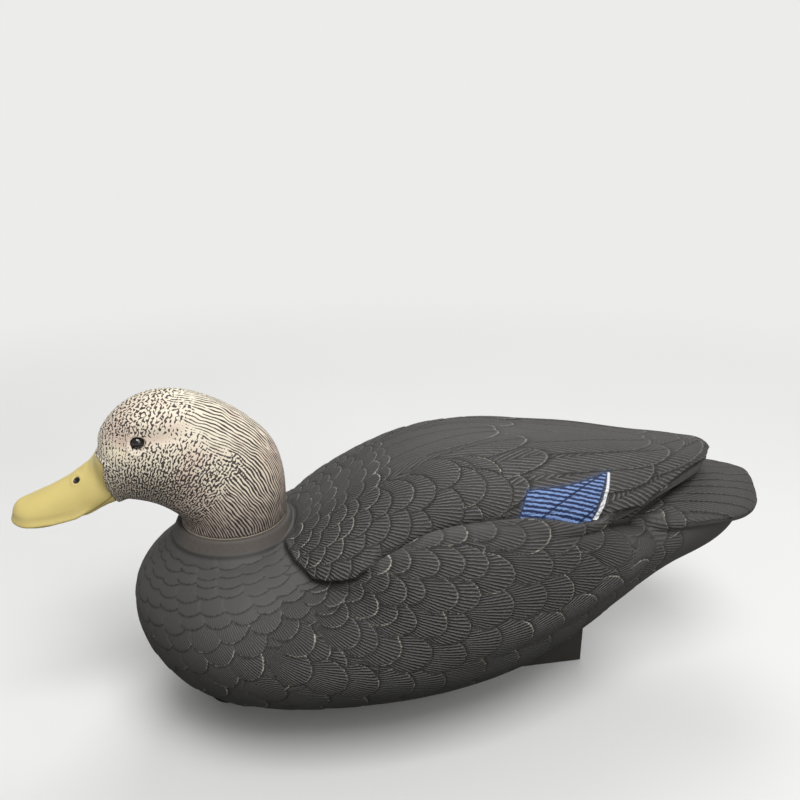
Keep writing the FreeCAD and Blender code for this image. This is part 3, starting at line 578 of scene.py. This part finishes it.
class Lie:
    """Where each point of the hull lies: by station, below the ridge, by wing and collar."""

    def __init__(self, plumage):
        x, y, z = plumage.points.T
        self.station = x
        self.depth = np.hypot(y, ridge_height(plumage.points) - z)
        self.outside, edge_station = edge_distance(x, self.depth, WING_EDGE)
        self.on_wing = self.outside < 0
        self.on_side = self.on_wing & (self.depth > 30)
        self.on_tail = (x > 150) & ~self.on_wing & (plumage.normals[:, 2] > 0.25)
        self.flank_over = smooth(edge_station, -44, -32) * (1 - smooth(edge_station, 108, 122))
        from_axis = np.hypot(x - NECK[0], y)
        self.collar = ((1 - smooth(from_axis, COLLAR_RADIUS - 1, COLLAR_RADIUS + 0.5))
                       * smooth(z, COLLAR_TOP - 14, COLLAR_TOP - 12))
        self.collar_foot = (bell(from_axis, COLLAR_RADIUS + 0.8, 0.8)
                            * smooth(z, COLLAR_TOP - 22, COLLAR_TOP - 16))
        downward = -plumage.normals[:, 2]
        belly = np.maximum(smooth(downward, 0.72, 0.9),
                           smooth(downward, 0.5, 0.7) * smooth(x, -70, -30))
        from_neck = np.linalg.norm(plumage.points - NECK, axis=1)
        self.bare = np.maximum(np.maximum(self.collar, 1 - smooth(from_neck, 41, 46)), belly)


def lay_feathers(plumage, lie):
    """Tail, breast and flanks first, then the wing from its rear to the shoulder."""
    station, depth = lie.station, lie.depth
    tail, wing = np.flatnonzero(lie.on_tail), np.flatnonzero(lie.on_wing)
    below = np.flatnonzero(~lie.on_wing & (station < 192))
    long_feathers(plumage, tail, station, np.abs(plumage.points[:, 1]), TAIL, 1.1, 3,
                  slant=14, pitch=1.6, rim=0.1, turn=0.86)
    for first, seed in ((51, 10), (46, 11)):
        fan_rows(plumage, below, rows_from(first, 352, lower_pitch), lower_width,
                 breast_and_flank_shape, seed)
    on_wing = partial(long_feathers, plumage, wing, station, depth)
    on_wing(PRIMARIES, 1.5, 5, slant=35, pitch=2.7)
    on_wing(SECONDARIES, 1.0, 6, slant=30)
    on_wing(TERTIALS, 1.6, 7, slant=21, pitch=2.7)
    on_wing(SCAPULARS, 1.5, 8, slant=18, pitch=2.6, turn=0.6, rim=0.35)
    for first, seed in ((39, 13), (34, 12)):
        fan_rows(plumage, wing, rows_from(first, 190, wing_pitch), wing_width, covert_shape,
                 seed)


# The crease at the wing's edge: millimetres that its upper side is raised and its lower one
# is sunk, each with how far that reaches.
LEDGE_RISE, RISE_REACH = 2.0, 9
LEDGE_SINK, SINK_REACH = 2.4, 5


def carve_plumage(skin, plumage, lie):
    """Raises the feathers and the wing's ledge, and returns how much wear has left.

    The flank laps over the wing along the middle of its edge, and the wing over the body at
    both ends. The crease's lower side is shaded as well.
    """
    clear = smooth(np.abs(2 * lie.flank_over - 1), 0, 1)
    upper = np.where(lie.on_wing, 1 - lie.flank_over, lie.flank_over)
    lower = (1 - upper) * clear
    upper *= clear
    gap = np.abs(lie.outside)
    ledge = LEDGE_RISE * upper * np.exp(-gap / RISE_REACH)
    ledge -= LEDGE_SINK * lower * np.exp(-gap / SINK_REACH)
    plumage.under = np.maximum(plumage.under, lower * bell(gap, 0, 1.8))
    plumage.relief *= 1 - 0.7 * lower * np.exp(-gap / 2)
    plumage.relief *= 1 - 0.65 * upper * ~lie.on_wing * (1 - smooth(gap, 3, 13))
    plumage.relief *= np.where(lie.on_wing, 1, 1 - 0.55 * smooth(lie.station, 112, 138))
    worn_back = np.where(lie.on_wing, 0.3 + 0.7 * smooth(lie.depth, 8, 34), 1.0)
    plumage.under *= worn_back
    carve = plumage.height * (0.3 + 0.7 * worn_back) - 0.5 * plumage.under * plumage.relief
    carve *= 1 - 0.6 * np.exp(-gap / 5) * smooth(lie.station, 100, 125)
    carve = (carve + ledge) * (1 - lie.bare)
    calm = skin.spread(carve)
    skin.points = plumage.points + plumage.normals * (0.5 * carve + 0.5 * calm)[:, None]
    return worn_back


def feathered_body():
    """The hull's outside with every feather carved and painted."""
    skin = relaxed_hull()
    plumage = Plumage(skin)
    lie = Lie(plumage)
    lay_feathers(plumage, lie)
    inside, bar = speculum_fields(lie.station, lie.depth)
    comb_speculum(plumage, lie.station, lie.depth,
                  np.flatnonzero(lie.on_side & (inside > -0.5)))
    seam = plumage.seams()
    worn_back = carve_plumage(skin, plumage, lie)
    kept = 1 - lie.bare
    behind_neck = smooth(np.abs(lie.station - NECK[0]), COLLAR_RADIUS - 11, COLLAR_RADIUS - 2)
    skin.write(barb=plumage.barb, edge=plumage.edge, quill=plumage.quill, tone=plumage.tone,
               rim=plumage.rim * kept, under=plumage.under * kept,
               relief=plumage.relief * kept * (1 - 0.85 * seam) * worn_back,
               blue=np.where(lie.on_side, inside, -9.0), bar=np.where(lie.on_side, bar, -9.0),
               collar=lie.collar * (1 - 0.8 * behind_neck), collar_foot=lie.collar_foot)
    skin.finish(plumage_paint(), "hull", "body_shell")


# ---- head

# The seam between bill and face on the side, as (height, station) from the corner of the
# mouth up to the forehead.
BILL_ROOT = ((160, -186), (166, -188), (170, -189.5), (175, -191), (183, -191.5),
             (190, -190.5), (193, -190), (195, -193.5), (198, -215))
# The cutting edge of the upper bill, as (station, height) from the tip to the corner of the
# mouth.
BILL_LIP = ((-256, 152), (-242, 151.5), (-225, 152), (-212, 154.5), (-200, 161),
            (-188, 169))
# How much the ridge of the bill is built up, by station, from its tip to the forehead.
BILL_RIDGE_RISE = ((-230, 0), (-216, 1.3), (-204, 3.0), (-194, 3.2), (-186, 2.4))
NOSTRIL = np.array([-209.5, 7.5, 178])
LID_RADIUS = 5.6
# Relief beside each eye: how high, then its place from the eye as (back, outwards, up) and
# its radii.
EYE_RELIEF = ((2.2, (4, 1, 11), (16, 9, 5.5)),  # brow
              (-1.3, (15, 3, 4), (13, 9, 4)),  # groove behind the eye
              (-0.9, (29, 3, 11), (11, 9, 4)),  # the groove's upper end
              (2.2, (14, 3, -17), (20, 12, 13)),  # cheek
              (-1.1, (-10, -1, 1), (9, 8, 6)))  # hollow in front of the eye
# The carved streaks swing about a place inside the neck's bend, given as (station, height).
SWING_PLACE = np.array([-185.0, 115.0])
SWING_RADIUS = 82.0
SECTION_RADIUS = 30.0
# Where the stipple gives way to combed streaks: the turn in degrees, by height.
COMBED_FROM = ((178, 41), (198, 53), (215, 64), (230, 66))


def eyes_and_nostrils(points, rise):
    """Adds the brows, cheeks, grooves, lids and nostrils of both sides to the rise."""
    for side in (-1, 1):
        mirror = np.array([1, side, 1])
        eye = EYE * mirror
        near = points[:, 1] * side > 0
        for height, place, radii in EYE_RELIEF:
            rise += height * bump_at(points, eye + mirror * place, radii)
        ring = np.linalg.norm((points - eye)[:, [0, 2]], axis=1)
        rise += 0.5 * bell(ring, LID_RADIUS, 0.9) * near * (ring < 9)
        away = points - NOSTRIL * mirror
        slot = np.hypot(away[:, 0] / 1.9 + away[:, 2] * 0.15, away[:, 2] - 0.4 * away[:, 0])
        rise += 0.45 * bell(slot, 1.7, 0.6) * near
        rise -= 1.1 * bell(slot, 0, 1) * near


def bill_and_root(points, normals, bill, on_bill, rise):
    """Adds the bill's ridge, sides, lip and nail, and the face's edge round its root."""
    x, y, z = points.T
    ridge = along_curve(BILL_RIDGE_RISE, x) * bell(y, 0, 9) * smooth(z, 165, 180)
    ridge *= smooth(normals[:, 2], 0.0, 0.6) * (1 - smooth(z, 193, 199))
    rise += ridge * smooth(-x, 182, 188)
    rise -= 2.6 * bump_at(points, (-195, 0, 199), (9, 15, 5.5))
    cheek_side = 1 - smooth(normals[:, 2], 0.3, 0.8)
    rise += 1.6 * bell(x, -199, 7) * smooth(z, 160, 170) * on_bill * cheek_side
    above_lip = z - along_curve(BILL_LIP, x)
    rise -= 0.8 * bell(above_lip, 0, 0.75) * on_bill
    rise += 0.45 * bell(above_lip, 2.0, 1.1) * on_bill
    rise -= 0.3 * bell(above_lip, 5.5, 1.8) * on_bill * smooth(-x, 205, 225)
    rise += 0.9 * bump_at(points, (BILL_TIP + 5, 0, 160), (5.5, 5, 6)) * on_bill
    rise += 0.9 * smooth(bill, 0.4, -1.2) * smooth(bill, -9, -1.5)
    rise -= 0.5 * bell(bill, 0, 0.8)
    return above_lip


def head_fields(points, on_bill):
    """What the head's paint reads besides the bill: streaks, tints and the nostrils."""
    x, y, z = points.T
    swing_run, swing_rise = (np.stack([x, z], 1) - SWING_PLACE).T
    swing = np.arctan2(swing_rise, swing_run)
    section = np.arctan2(y, np.hypot(swing_run, swing_rise) - SWING_RADIUS)
    one_side = np.abs(points) * [-1, 1, 1]
    bump = partial(bump_at, one_side)
    eye = np.array([EYE[0], abs(EYE[1]), EYE[2]])
    lid = np.linalg.norm((one_side - eye)[:, [0, 2]], axis=1)
    groove = bump(eye + [12, 2, 3], (11, 12, 2.6))
    groove += 0.6 * bump(eye + [25, 2, 9], (8, 12, 2.4))
    groove += 0.8 * bump(eye + [-9, 0, 1.5], (6, 12, 3.2))
    blush = bump(eye + [-12, -4, 7], (15, 16, 11)) + bump((-84, 20, 190), (14, 30, 30))
    low_cheek = bump((-158, 26, 177), (32, 18, 15))
    neck_foot = 1 - smooth(z, COLLAR_TOP, COLLAR_TOP + 38)
    dense = 0.45 * bump(eye + [-8, -3, 8], (14, 16, 9)) - 0.6
    dense += 1.35 * bump((-158, 26, 180), (36, 20, 17))
    dense -= 0.6 * bump((-134, 26, 205), (16, 18, 9))
    dense += 0.8 * bump((-104, 26, 180), (18, 22, 30)) + 0.9 * neck_foot
    from_nostril = (one_side - NOSTRIL) * [0.72, 0.8, 1]
    from_nostril[:, 2] -= 0.3 * from_nostril[:, 0]
    return {
        "flow": -swing * SWING_RADIUS, "across": section * SECTION_RADIUS,
        "combed": along_curve(COMBED_FROM, z) - np.degrees(swing),
        "lid": bell(lid, LID_RADIUS - 0.5, 0.6) * (np.abs(y) > 10),
        "pale": bump(eye + [-11, 0, -5.5], (10, 12, 3.6)),
        "groove": np.clip(groove, 0, 1), "blush": np.clip(blush, 0, 1),
        "shade": np.clip(0.34 * low_cheek + 0.98 * neck_foot, 0, 1) * (1 - on_bill),
        "dense": dense, "nostril": np.linalg.norm(from_nostril, axis=1),
    }


def carved_head():
    """The head and bill with brow, cheek, eye rims, nostrils, lip and a nail."""
    skin = Skin("carved_head", "head", HEAD_GRAIN)
    scale = 1.0 / HEAD_GRAIN ** 2
    skin.relax(int(3 * scale) + 1)
    x, y, z = skin.points.T
    at_root = smooth(z, 156, 164) * (1 - smooth(z, 194, 200)) * bell(x, -195, 8)
    skin.relax(int(60 * scale), at_root)
    points = skin.points
    normals = skin.normals()
    bill = (along_curve(BILL_ROOT, z) - 0.02 * np.abs(y) ** 1.2 - x) * smooth(z, 140, 150)
    on_bill = smooth(bill, -0.5, 0.5)
    rise = np.zeros(len(points))
    eyes_and_nostrils(points, rise)
    above_lip = bill_and_root(points, normals, bill, on_bill, rise)
    foot = 1 - smooth(z, COLLAR_TOP + 1.5, COLLAR_TOP + 5)
    skin.points = points + normals * (rise * (1 - foot))[:, None]
    skin.relax(int(25 * scale), at_root * smooth(bill, 0.5, 2.5))
    skin.write(bill=bill, lip=above_lip * on_bill, **head_fields(points, on_bill))
    skin.finish(head_paint(), "swivel_head", "head")


# ---- shader graphs

class Graph:
    """Short names for the nodes that the paints are made of."""

    def __init__(self, name, colours=None):
        self.colours = colours
        self.material = bpy.data.materials.new(name)
        self.material.use_nodes = True
        self.nodes = self.material.node_tree.nodes
        self.links = self.material.node_tree.links
        self.shader = self.nodes["Principled BSDF"]

    def put(self, socket, value):
        """Links a socket, or sets it to a value or to the colour of that name."""
        if isinstance(value, bpy.types.NodeSocket):
            self.links.new(value, socket)
        elif value is not None:
            socket.default_value = self.colours[value] if isinstance(value, str) else value

    def node(self, kind, output=0, settings=(), **inputs):
        """The output of a new node, its inputs filled by name with _ for a space."""
        node = self.nodes.new(kind)
        for name, value in dict(settings).items():
            setattr(node, name, value)
        for name, value in inputs.items():
            self.put(node.inputs[name.replace("_", " ")], value)
        return node.outputs[output]

    def attribute(self, name):
        return self.node("ShaderNodeAttribute", "Fac", {"attribute_name": name})

    def math(self, kind, a, b=None, c=None, clamp=False):
        node = self.nodes.new("ShaderNodeMath")
        node.operation = kind
        node.use_clamp = clamp
        for socket, value in zip(node.inputs, (a, b, c)):
            self.put(socket, value)
        return node.outputs[0]

    def times(self, a, b):
        return self.math("MULTIPLY", a, b)

    def scaled(self, value, factor, more):
        """value * factor + more."""
        return self.math("MULTIPLY_ADD", value, factor, more)

    def step(self, value, low, high):
        """0 at low, 1 at high, eased between."""
        return self.node("ShaderNodeMapRange", "Result", {"interpolation_type": "SMOOTHSTEP"},
                         Value=value, From_Min=low, From_Max=high)

    def fade(self, value, low, high):
        """1 at low, 0 at high, eased between."""
        return self.math("SUBTRACT", 1.0, self.step(value, low, high))

    def place(self):
        return self.node("ShaderNodeTexCoord", "Object")

    def join(self, x, y):
        return self.node("ShaderNodeCombineXYZ", X=x, Y=y)

    def noise(self, vector, scale, detail=3.0, roughness=0.5, distortion=0.0):
        return self.node("ShaderNodeTexNoise", "Fac", Vector=vector, Scale=scale,
                         Detail=detail, Roughness=roughness, Distortion=distortion)

    def mix(self, share, first, second):
        """Between two colours."""
        node = self.nodes.new("ShaderNodeMix")
        node.data_type = "RGBA"
        for number, value in ((0, share), (6, first), (7, second)):
            self.put(node.inputs[number], value)
        return node.outputs[2]

    def over(self, base, share, strength, colour):
        """The base with a colour laid over it, as far as share times strength."""
        return self.mix(self.times(share, strength), base, colour)

    def bump(self, height, strength, distance, under=None):
        return self.node("ShaderNodeBump", Strength=strength, Distance=distance,
                         Height=height, Normal=under)

    def surface(self, **values):
        """Fills the shader's sockets and returns the finished material."""
        for name, value in values.items():
            self.put(self.shader.inputs[name.replace("_", " ").title()
                                        .replace("Ior", "IOR")], value)
        return self.material


def rgb(red, green, blue):
    """A colour given as it looks on screen, as the shader wants it."""
    def linear(share):
        return share / 12.92 if share <= 0.04045 else ((share + 0.055) / 1.055) ** 2.4
    return tuple(linear(v / 255) for v in (red, green, blue)) + (1.0,)


def palette(**colours):
    return {name: rgb(*colour) for name, colour in colours.items()}


PLUMAGE = palette(
    dark=(70, 69, 68), light=(92, 91, 89), brown=(84, 78, 76), smooth=(50, 49, 48),
    groove=(24, 23, 23), brushed=(134, 132, 128), shadow=(18, 18, 18),
    worn_rim=(206, 198, 180), thin_rim=(150, 148, 142), quill=(44, 42, 40), low=(24, 23, 22),
    halo=(70, 100, 156), blue_dark=(26, 38, 78), blue_light=(122, 150, 198),
    blue_quill=(22, 32, 66), bar=(232, 234, 236), collar_foot=(30, 29, 28),
    collar_dark=(76, 71, 67), collar_light=(94, 88, 83))
HEAD = palette(
    cream_dark=(226, 214, 192), cream_light=(240, 232, 212), blotch=(228, 208, 190),
    blush=(212, 184, 170), groove=(192, 164, 148), pale=(240, 228, 192),
    shade=(156, 142, 132), lid=(236, 224, 208), mark=(40, 30, 32),
    bill_dark=(208, 188, 112), bill_light=(224, 206, 136), lip_line=(120, 98, 52),
    nostril=(28, 22, 14))


def plumage_paint():
    """Matt charcoal plumage with barbs, pale worn rims, a blue speculum and a taupe collar;
    painted shade in the barb grooves, under feather tips and low on the hull, and a painted
    highlight on the barb ridges.
    """
    g = Graph("plumage_paint", PLUMAGE)
    place = g.place()
    edge, relief, rim = g.attribute("edge"), g.attribute("relief"), g.attribute("rim")
    deep, broad = g.noise(place, 60.0, 2.0), g.noise(place, 14.0)
    fine, worn = g.noise(place, 900.0, 2.0), g.noise(place, 110.0)
    phase = g.scaled(g.noise(place, 420.0, 2.0), 0.5, g.attribute("barb"))
    ridge = g.scaled(g.math("SINE", g.times(phase, 2 * math.pi)), 0.5, 0.5)
    barbs = g.times(ridge, relief)

    base = g.mix(broad, "dark", "light")
    base = g.over(base, g.attribute("tone"), 0.25, "brown")
    without_barbs = g.math("SUBTRACT", 1.0, relief, clamp=True)
    base = g.over(base, without_barbs, 0.25, "smooth")
    # Painted shade in the barb grooves, deeper where the noise is.
    groove = g.math("SUBTRACT", relief, barbs, clamp=True)
    base = g.over(base, groove, g.scaled(deep, 0.6, 0.34), "groove")
    # Painted highlight on the tops of the barb ridges, patchy by the noise.
    base = g.over(base, g.step(barbs, 0.6, 1.0), g.times(deep, 0.5), "brushed")
    base = g.over(base, g.attribute("under"), 0.85, "shadow")
    line = g.times(g.fade(edge, 0.1, g.scaled(rim, 0.6, 0.5)), rim)
    base = g.over(base, g.times(g.step(worn, 0.34, 0.6), line), 0.95, "worn_rim")
    thin = g.fade(edge, 0.1, 0.9)
    base = g.over(base, thin, g.times(relief, 0.55), "thin_rim")
    quill = g.fade(g.attribute("quill"), 0.25, 0.8)
    base = g.over(base, quill, 0.55, "quill")

    # Painted shade: darker towards the bottom of the hull, more so behind the breast.
    axes = g.nodes.new("ShaderNodeSeparateXYZ")
    g.put(axes.inputs[0], place)
    low = g.fade(axes.outputs["Z"], 0.035, 0.105)
    low_shade_strength = g.scaled(g.step(axes.outputs["X"], -0.09, -0.03), 0.4, 0.35)
    base = g.over(base, low, low_shade_strength, "low")

    blue = g.attribute("blue")
    base = g.over(base, g.step(blue, -3.5, 0.0), 0.28, "halo")
    barred = g.mix(g.step(ridge, 0.25, 0.8), "blue_dark", "blue_light")
    barred = g.over(barred, quill, 0.9, "blue_quill")
    base = g.mix(g.step(blue, -0.4, 0.4), base, barred)
    base = g.mix(g.step(g.attribute("bar"), -0.4, 0.4), base, "bar")

    base = g.over(base, g.attribute("collar_foot"), 0.7, "collar_foot")
    collar = g.mix(fine, "collar_dark", "collar_light")
    base = g.mix(g.attribute("collar"), base, collar)

    grain = g.bump(fine, 0.12, 0.0003)
    carved = g.bump(g.scaled(quill, -0.4, barbs), 0.8, 0.0012, grain)
    return g.surface(base_color=base, normal=carved, roughness=g.scaled(broad, 0.18, 0.5),
                     specular_ior_level=0.35)


def head_marks(g, place):
    """How bare of dark marks the head is: stipple in front, combed streaks behind."""
    flow, across, dense = g.attribute("flow"), g.attribute("across"), g.attribute("dense")
    warp = g.math("SUBTRACT", g.noise(place, 45.0, 2.0), 0.5)
    comb_place = g.scaled(warp, 8.0, across)
    comb = g.math("SINE", g.times(comb_place, 2 * math.pi / 1.55))
    strands = g.join(g.times(flow, 1 / 5.5), g.times(comb_place, 1 / 1.3))
    breaks = g.math("SUBTRACT", g.noise(strands, 1.0, 1.0), 0.5)
    streaks = g.scaled(comb, 0.24, g.scaled(breaks, 0.85, 0.5))
    streaks = g.scaled(dense, -0.11, streaks)
    curl = g.times(g.math("SUBTRACT", g.noise(place, 260.0, 1.0), 0.5), 2.4)
    column = g.math("ADD", flow, curl)
    worm = g.math("SINE", g.times(column, 2 * math.pi / 1.9))
    dot_place = g.join(g.times(column, 1 / 0.85), g.times(across, 1 / 1.6))
    dots = g.scaled(worm, 0.08, g.noise(dot_place, 1.0, 0.5, 0.4, 0.2))
    dots = g.scaled(dense, -0.06, dots)
    combed = g.scaled(warp, 30.0, g.attribute("combed"))
    return g.node("ShaderNodeMix", Factor=g.step(combed, -6.0, 6.0), A=dots, B=streaks)


def head_paint():
    """Cream head with dark carved stipple and streaks, and a satin mustard bill."""
    g = Graph("head_paint", HEAD)
    place = g.place()
    pale, groove, lid = g.attribute("pale"), g.attribute("groove"), g.attribute("lid")
    bare = g.scaled(groove, 0.22, head_marks(g, place))
    bare = g.scaled(lid, 0.12, g.scaled(pale, 0.12, bare))
    dark = g.fade(bare, 0.47, 0.52)

    cream = g.mix(g.noise(place, 22.0, 2.0), "cream_dark", "cream_light")
    cream = g.mix(g.step(g.noise(place, 38.0, 2.0), 0.5, 0.75), cream, "blotch")
    cream = g.over(cream, g.attribute("blush"), 0.6, "blush")
    cream = g.over(cream, groove, 0.6, "groove")
    cream = g.over(cream, pale, 0.5, "pale")
    cream = g.mix(g.attribute("shade"), cream, "shade")
    cream = g.over(cream, lid, 0.4, "lid")
    coat = g.over(cream, dark, 0.96, "mark")

    bill = g.mix(g.noise(place, 35.0), "bill_dark", "bill_light")
    lip_line = g.fade(g.math("ABSOLUTE", g.attribute("lip")), 0.2, 0.9)
    bill = g.over(bill, lip_line, 0.6, "lip_line")
    bill = g.mix(g.fade(g.attribute("nostril"), 1.4, 2.0), bill, "nostril")
    on_bill = g.step(g.attribute("bill"), -0.25, 0.25)

    carve = g.times(dark, g.math("SUBTRACT", on_bill, 1.0))
    fine = g.bump(g.noise(place, 700.0, 2.0), 0.08, 0.0003)
    return g.surface(base_color=g.mix(on_bill, coat, bill),
                     normal=g.bump(carve, 0.4, 0.0006, fine),
                     roughness=g.scaled(on_bill, -0.16, 0.56), specular_ior_level=0.4)


# What plain finishes share: the scale and detail of their stains, the scale, strength and
# depth of their grain, and how much rougher the stains are.
PLASTIC = (40.0, 4.0), (1100.0, 0.15, 0.0003), 0.2
METAL = (180.0, 3.0), (2400.0, 0.1, 0.0002), 0.25


def finish(name, kind, dark, light, roughness):
    """Stained plastic or dull cast metal, or bright metal with patches of tarnish."""
    (scale, detail), (grain, strength, depth), rougher = kind
    g = Graph(name)
    place = g.place()
    stain = g.noise(place, scale, detail)
    normal = g.bump(g.noise(place, grain, 2.0), strength, depth)
    return g.surface(base_color=g.mix(stain, rgb(*dark), rgb(*light)), normal=normal,
                     metallic=float(kind is METAL),
                     roughness=g.scaled(stain, rougher, roughness))


def eye_gloss():
    """A near-black eye, mottled with deep brown, under a clear gloss."""
    g = Graph("eye_gloss")
    place = g.place()
    mottle = g.noise(place, 800.0, 3.0)
    colour = g.mix(mottle, rgb(8, 7, 7), rgb(22, 15, 12))
    return g.surface(base_color=colour, roughness=0.3, specular_ior_level=0.0, coat_weight=1.0,
                     coat_roughness=0.02, coat_ior=1.75)


def paint_nodes():
    """Every carried-over CAD node gets its own finish."""
    finishes = (
        (finish("keel_plastic", PLASTIC, (52, 50, 47), (74, 71, 66), 0.45), ["keel"]),
        (finish("tube_plastic", PLASTIC, (60, 58, 55), (80, 77, 72), 0.5), ["bolt_tube"]),
        (finish("washer_nylon", PLASTIC, (176, 168, 150), (204, 196, 178), 0.35),
         ["swivel_washer"]),
        (finish("plug_rubber", PLASTIC, (22, 22, 22), (38, 37, 36), 0.6), ["drain_plug"]),
        (finish("zinc_steel", METAL, (140, 142, 140), (190, 190, 184), 0.28),
         ["keel_screws", "head_bolt", "bolt_washer", "spring_washer"]),
        (finish("insert_brass", METAL, (150, 118, 62), (206, 172, 104), 0.25),
         ["head_insert"]),
        (finish("blacked_brass", METAL, (44, 42, 39), (66, 62, 56), 0.4),
         ["front_line_eyelet", "rear_line_eyelet"]),
        (finish("ballast_metal", PLASTIC, (70, 70, 72), (104, 103, 102), 0.6),
         ["ballast_front", "ballast_rear"]),
        (eye_gloss(), ["eye_left", "eye_right"]),
    )
    for material, names in finishes:
        for name in names:
            slots = NODES[name].data.materials
            slots.clear()
            slots.append(material)


# ---- room

# The camera as the photograph's perspective places it, in millimetres and degrees.
CAMERA_PLACE = (-94.7, -479.2, 395.0)
CAMERA_DOWN, CAMERA_TURNED = 20.3, 10.39
CAMERA_LENS = CAMERA_SENSOR = 36.0
# Area lamps: place in metres, size in metres and power in watts.
LAMPS = {"key": ((0.1, -0.9, 1.9), 1.1, 28), "fill": ((0.9, -1.6, 1.2), 1.2, 10),
         "back": ((0.3, 1.2, 1.8), 1.2, 14)}
LAMP_TARGET = (0, 0, 0.1)
SOFT_LIGHT = 0.32
BACKDROP = rgb(236, 236, 235)
FLOOR_HALF = 12.0  # metres


def camera():
    data = bpy.data.cameras.new("camera")
    data.sensor_width = CAMERA_SENSOR
    data.lens = CAMERA_LENS
    item = new_object("camera", data)
    item.location = Vector(CAMERA_PLACE) * MM
    down, turned = math.radians(CAMERA_DOWN), math.radians(CAMERA_TURNED)
    ahead = Vector((math.sin(turned) * math.cos(down), math.cos(turned) * math.cos(down),
                    -math.sin(down)))
    item.rotation_mode = "QUATERNION"
    item.rotation_quaternion = ahead.to_track_quat("-Z", "Y")
    bpy.context.scene.camera = item


def lamp(name, place, size, power):
    data = bpy.data.lights.new(name, "AREA")
    data.size = size
    data.energy = power
    item = new_object(name, data)
    item.location = Vector(place)
    item.rotation_mode = "QUATERNION"
    item.rotation_quaternion = (Vector(LAMP_TARGET) - item.location).to_track_quat("-Z", "Y")


def floor():
    """A pale floor that stays pale to the camera and keeps the decoy's shadow."""
    mesh = bpy.data.meshes.new("floor")
    half = FLOOR_HALF
    corners = [(-half, -half, 0), (half, -half, 0), (half, half, 0), (-half, half, 0)]
    mesh.from_pydata(corners, [], [(0, 1, 2, 3)])
    item = new_object("floor", mesh)
    g = Graph("floor_paint")
    place = g.place()
    paint = g.mix(g.noise(place, 3.0, 2.0), rgb(226, 226, 225), rgb(232, 232, 231))
    far = g.node("ShaderNodeVectorMath", "Value", {"operation": "LENGTH"}, Vector=place)
    glow = g.step(far, 0.45, 1.3)
    seen = g.node("ShaderNodeLightPath", "Is Camera Ray")
    paint = g.mix(seen, rgb(112, 112, 111), paint)
    g.surface(base_color=g.mix(glow, paint, (0, 0, 0, 1)), roughness=0.9,
              specular_ior_level=0.0, emission_color=BACKDROP, emission_strength=glow)
    mesh.materials.append(g.material)


def world():
    """Soft light on the decoy, and a plain backdrop for the camera."""
    scene = bpy.context.scene
    scene.world = bpy.data.worlds.new("world")
    scene.world.use_nodes = True
    nodes, links = scene.world.node_tree.nodes, scene.world.node_tree.links
    soft = nodes["Background"]
    soft.inputs["Color"].default_value = (1, 1, 1, 1)
    soft.inputs["Strength"].default_value = SOFT_LIGHT
    seen = nodes.new("ShaderNodeBackground")
    seen.inputs["Color"].default_value = BACKDROP
    seen.inputs["Strength"].default_value = 1.0
    path = nodes.new("ShaderNodeLightPath")
    mixer = nodes.new("ShaderNodeMixShader")
    links.new(path.outputs["Is Camera Ray"], mixer.inputs["Fac"])
    links.new(soft.outputs[0], mixer.inputs[1])
    links.new(seen.outputs[0], mixer.inputs[2])
    links.new(mixer.outputs[0], nodes["World Output"].inputs["Surface"])


def light_room():
    world()
    for name, (place, size, power) in LAMPS.items():
        lamp(name, place, size, power)
    bpy.context.scene.view_settings.view_transform = "Standard"


# ---- the decoy

camera()
feathered_body()
carved_head()
paint_nodes()
floor()
light_room()

bpy.context.view_layer.update()
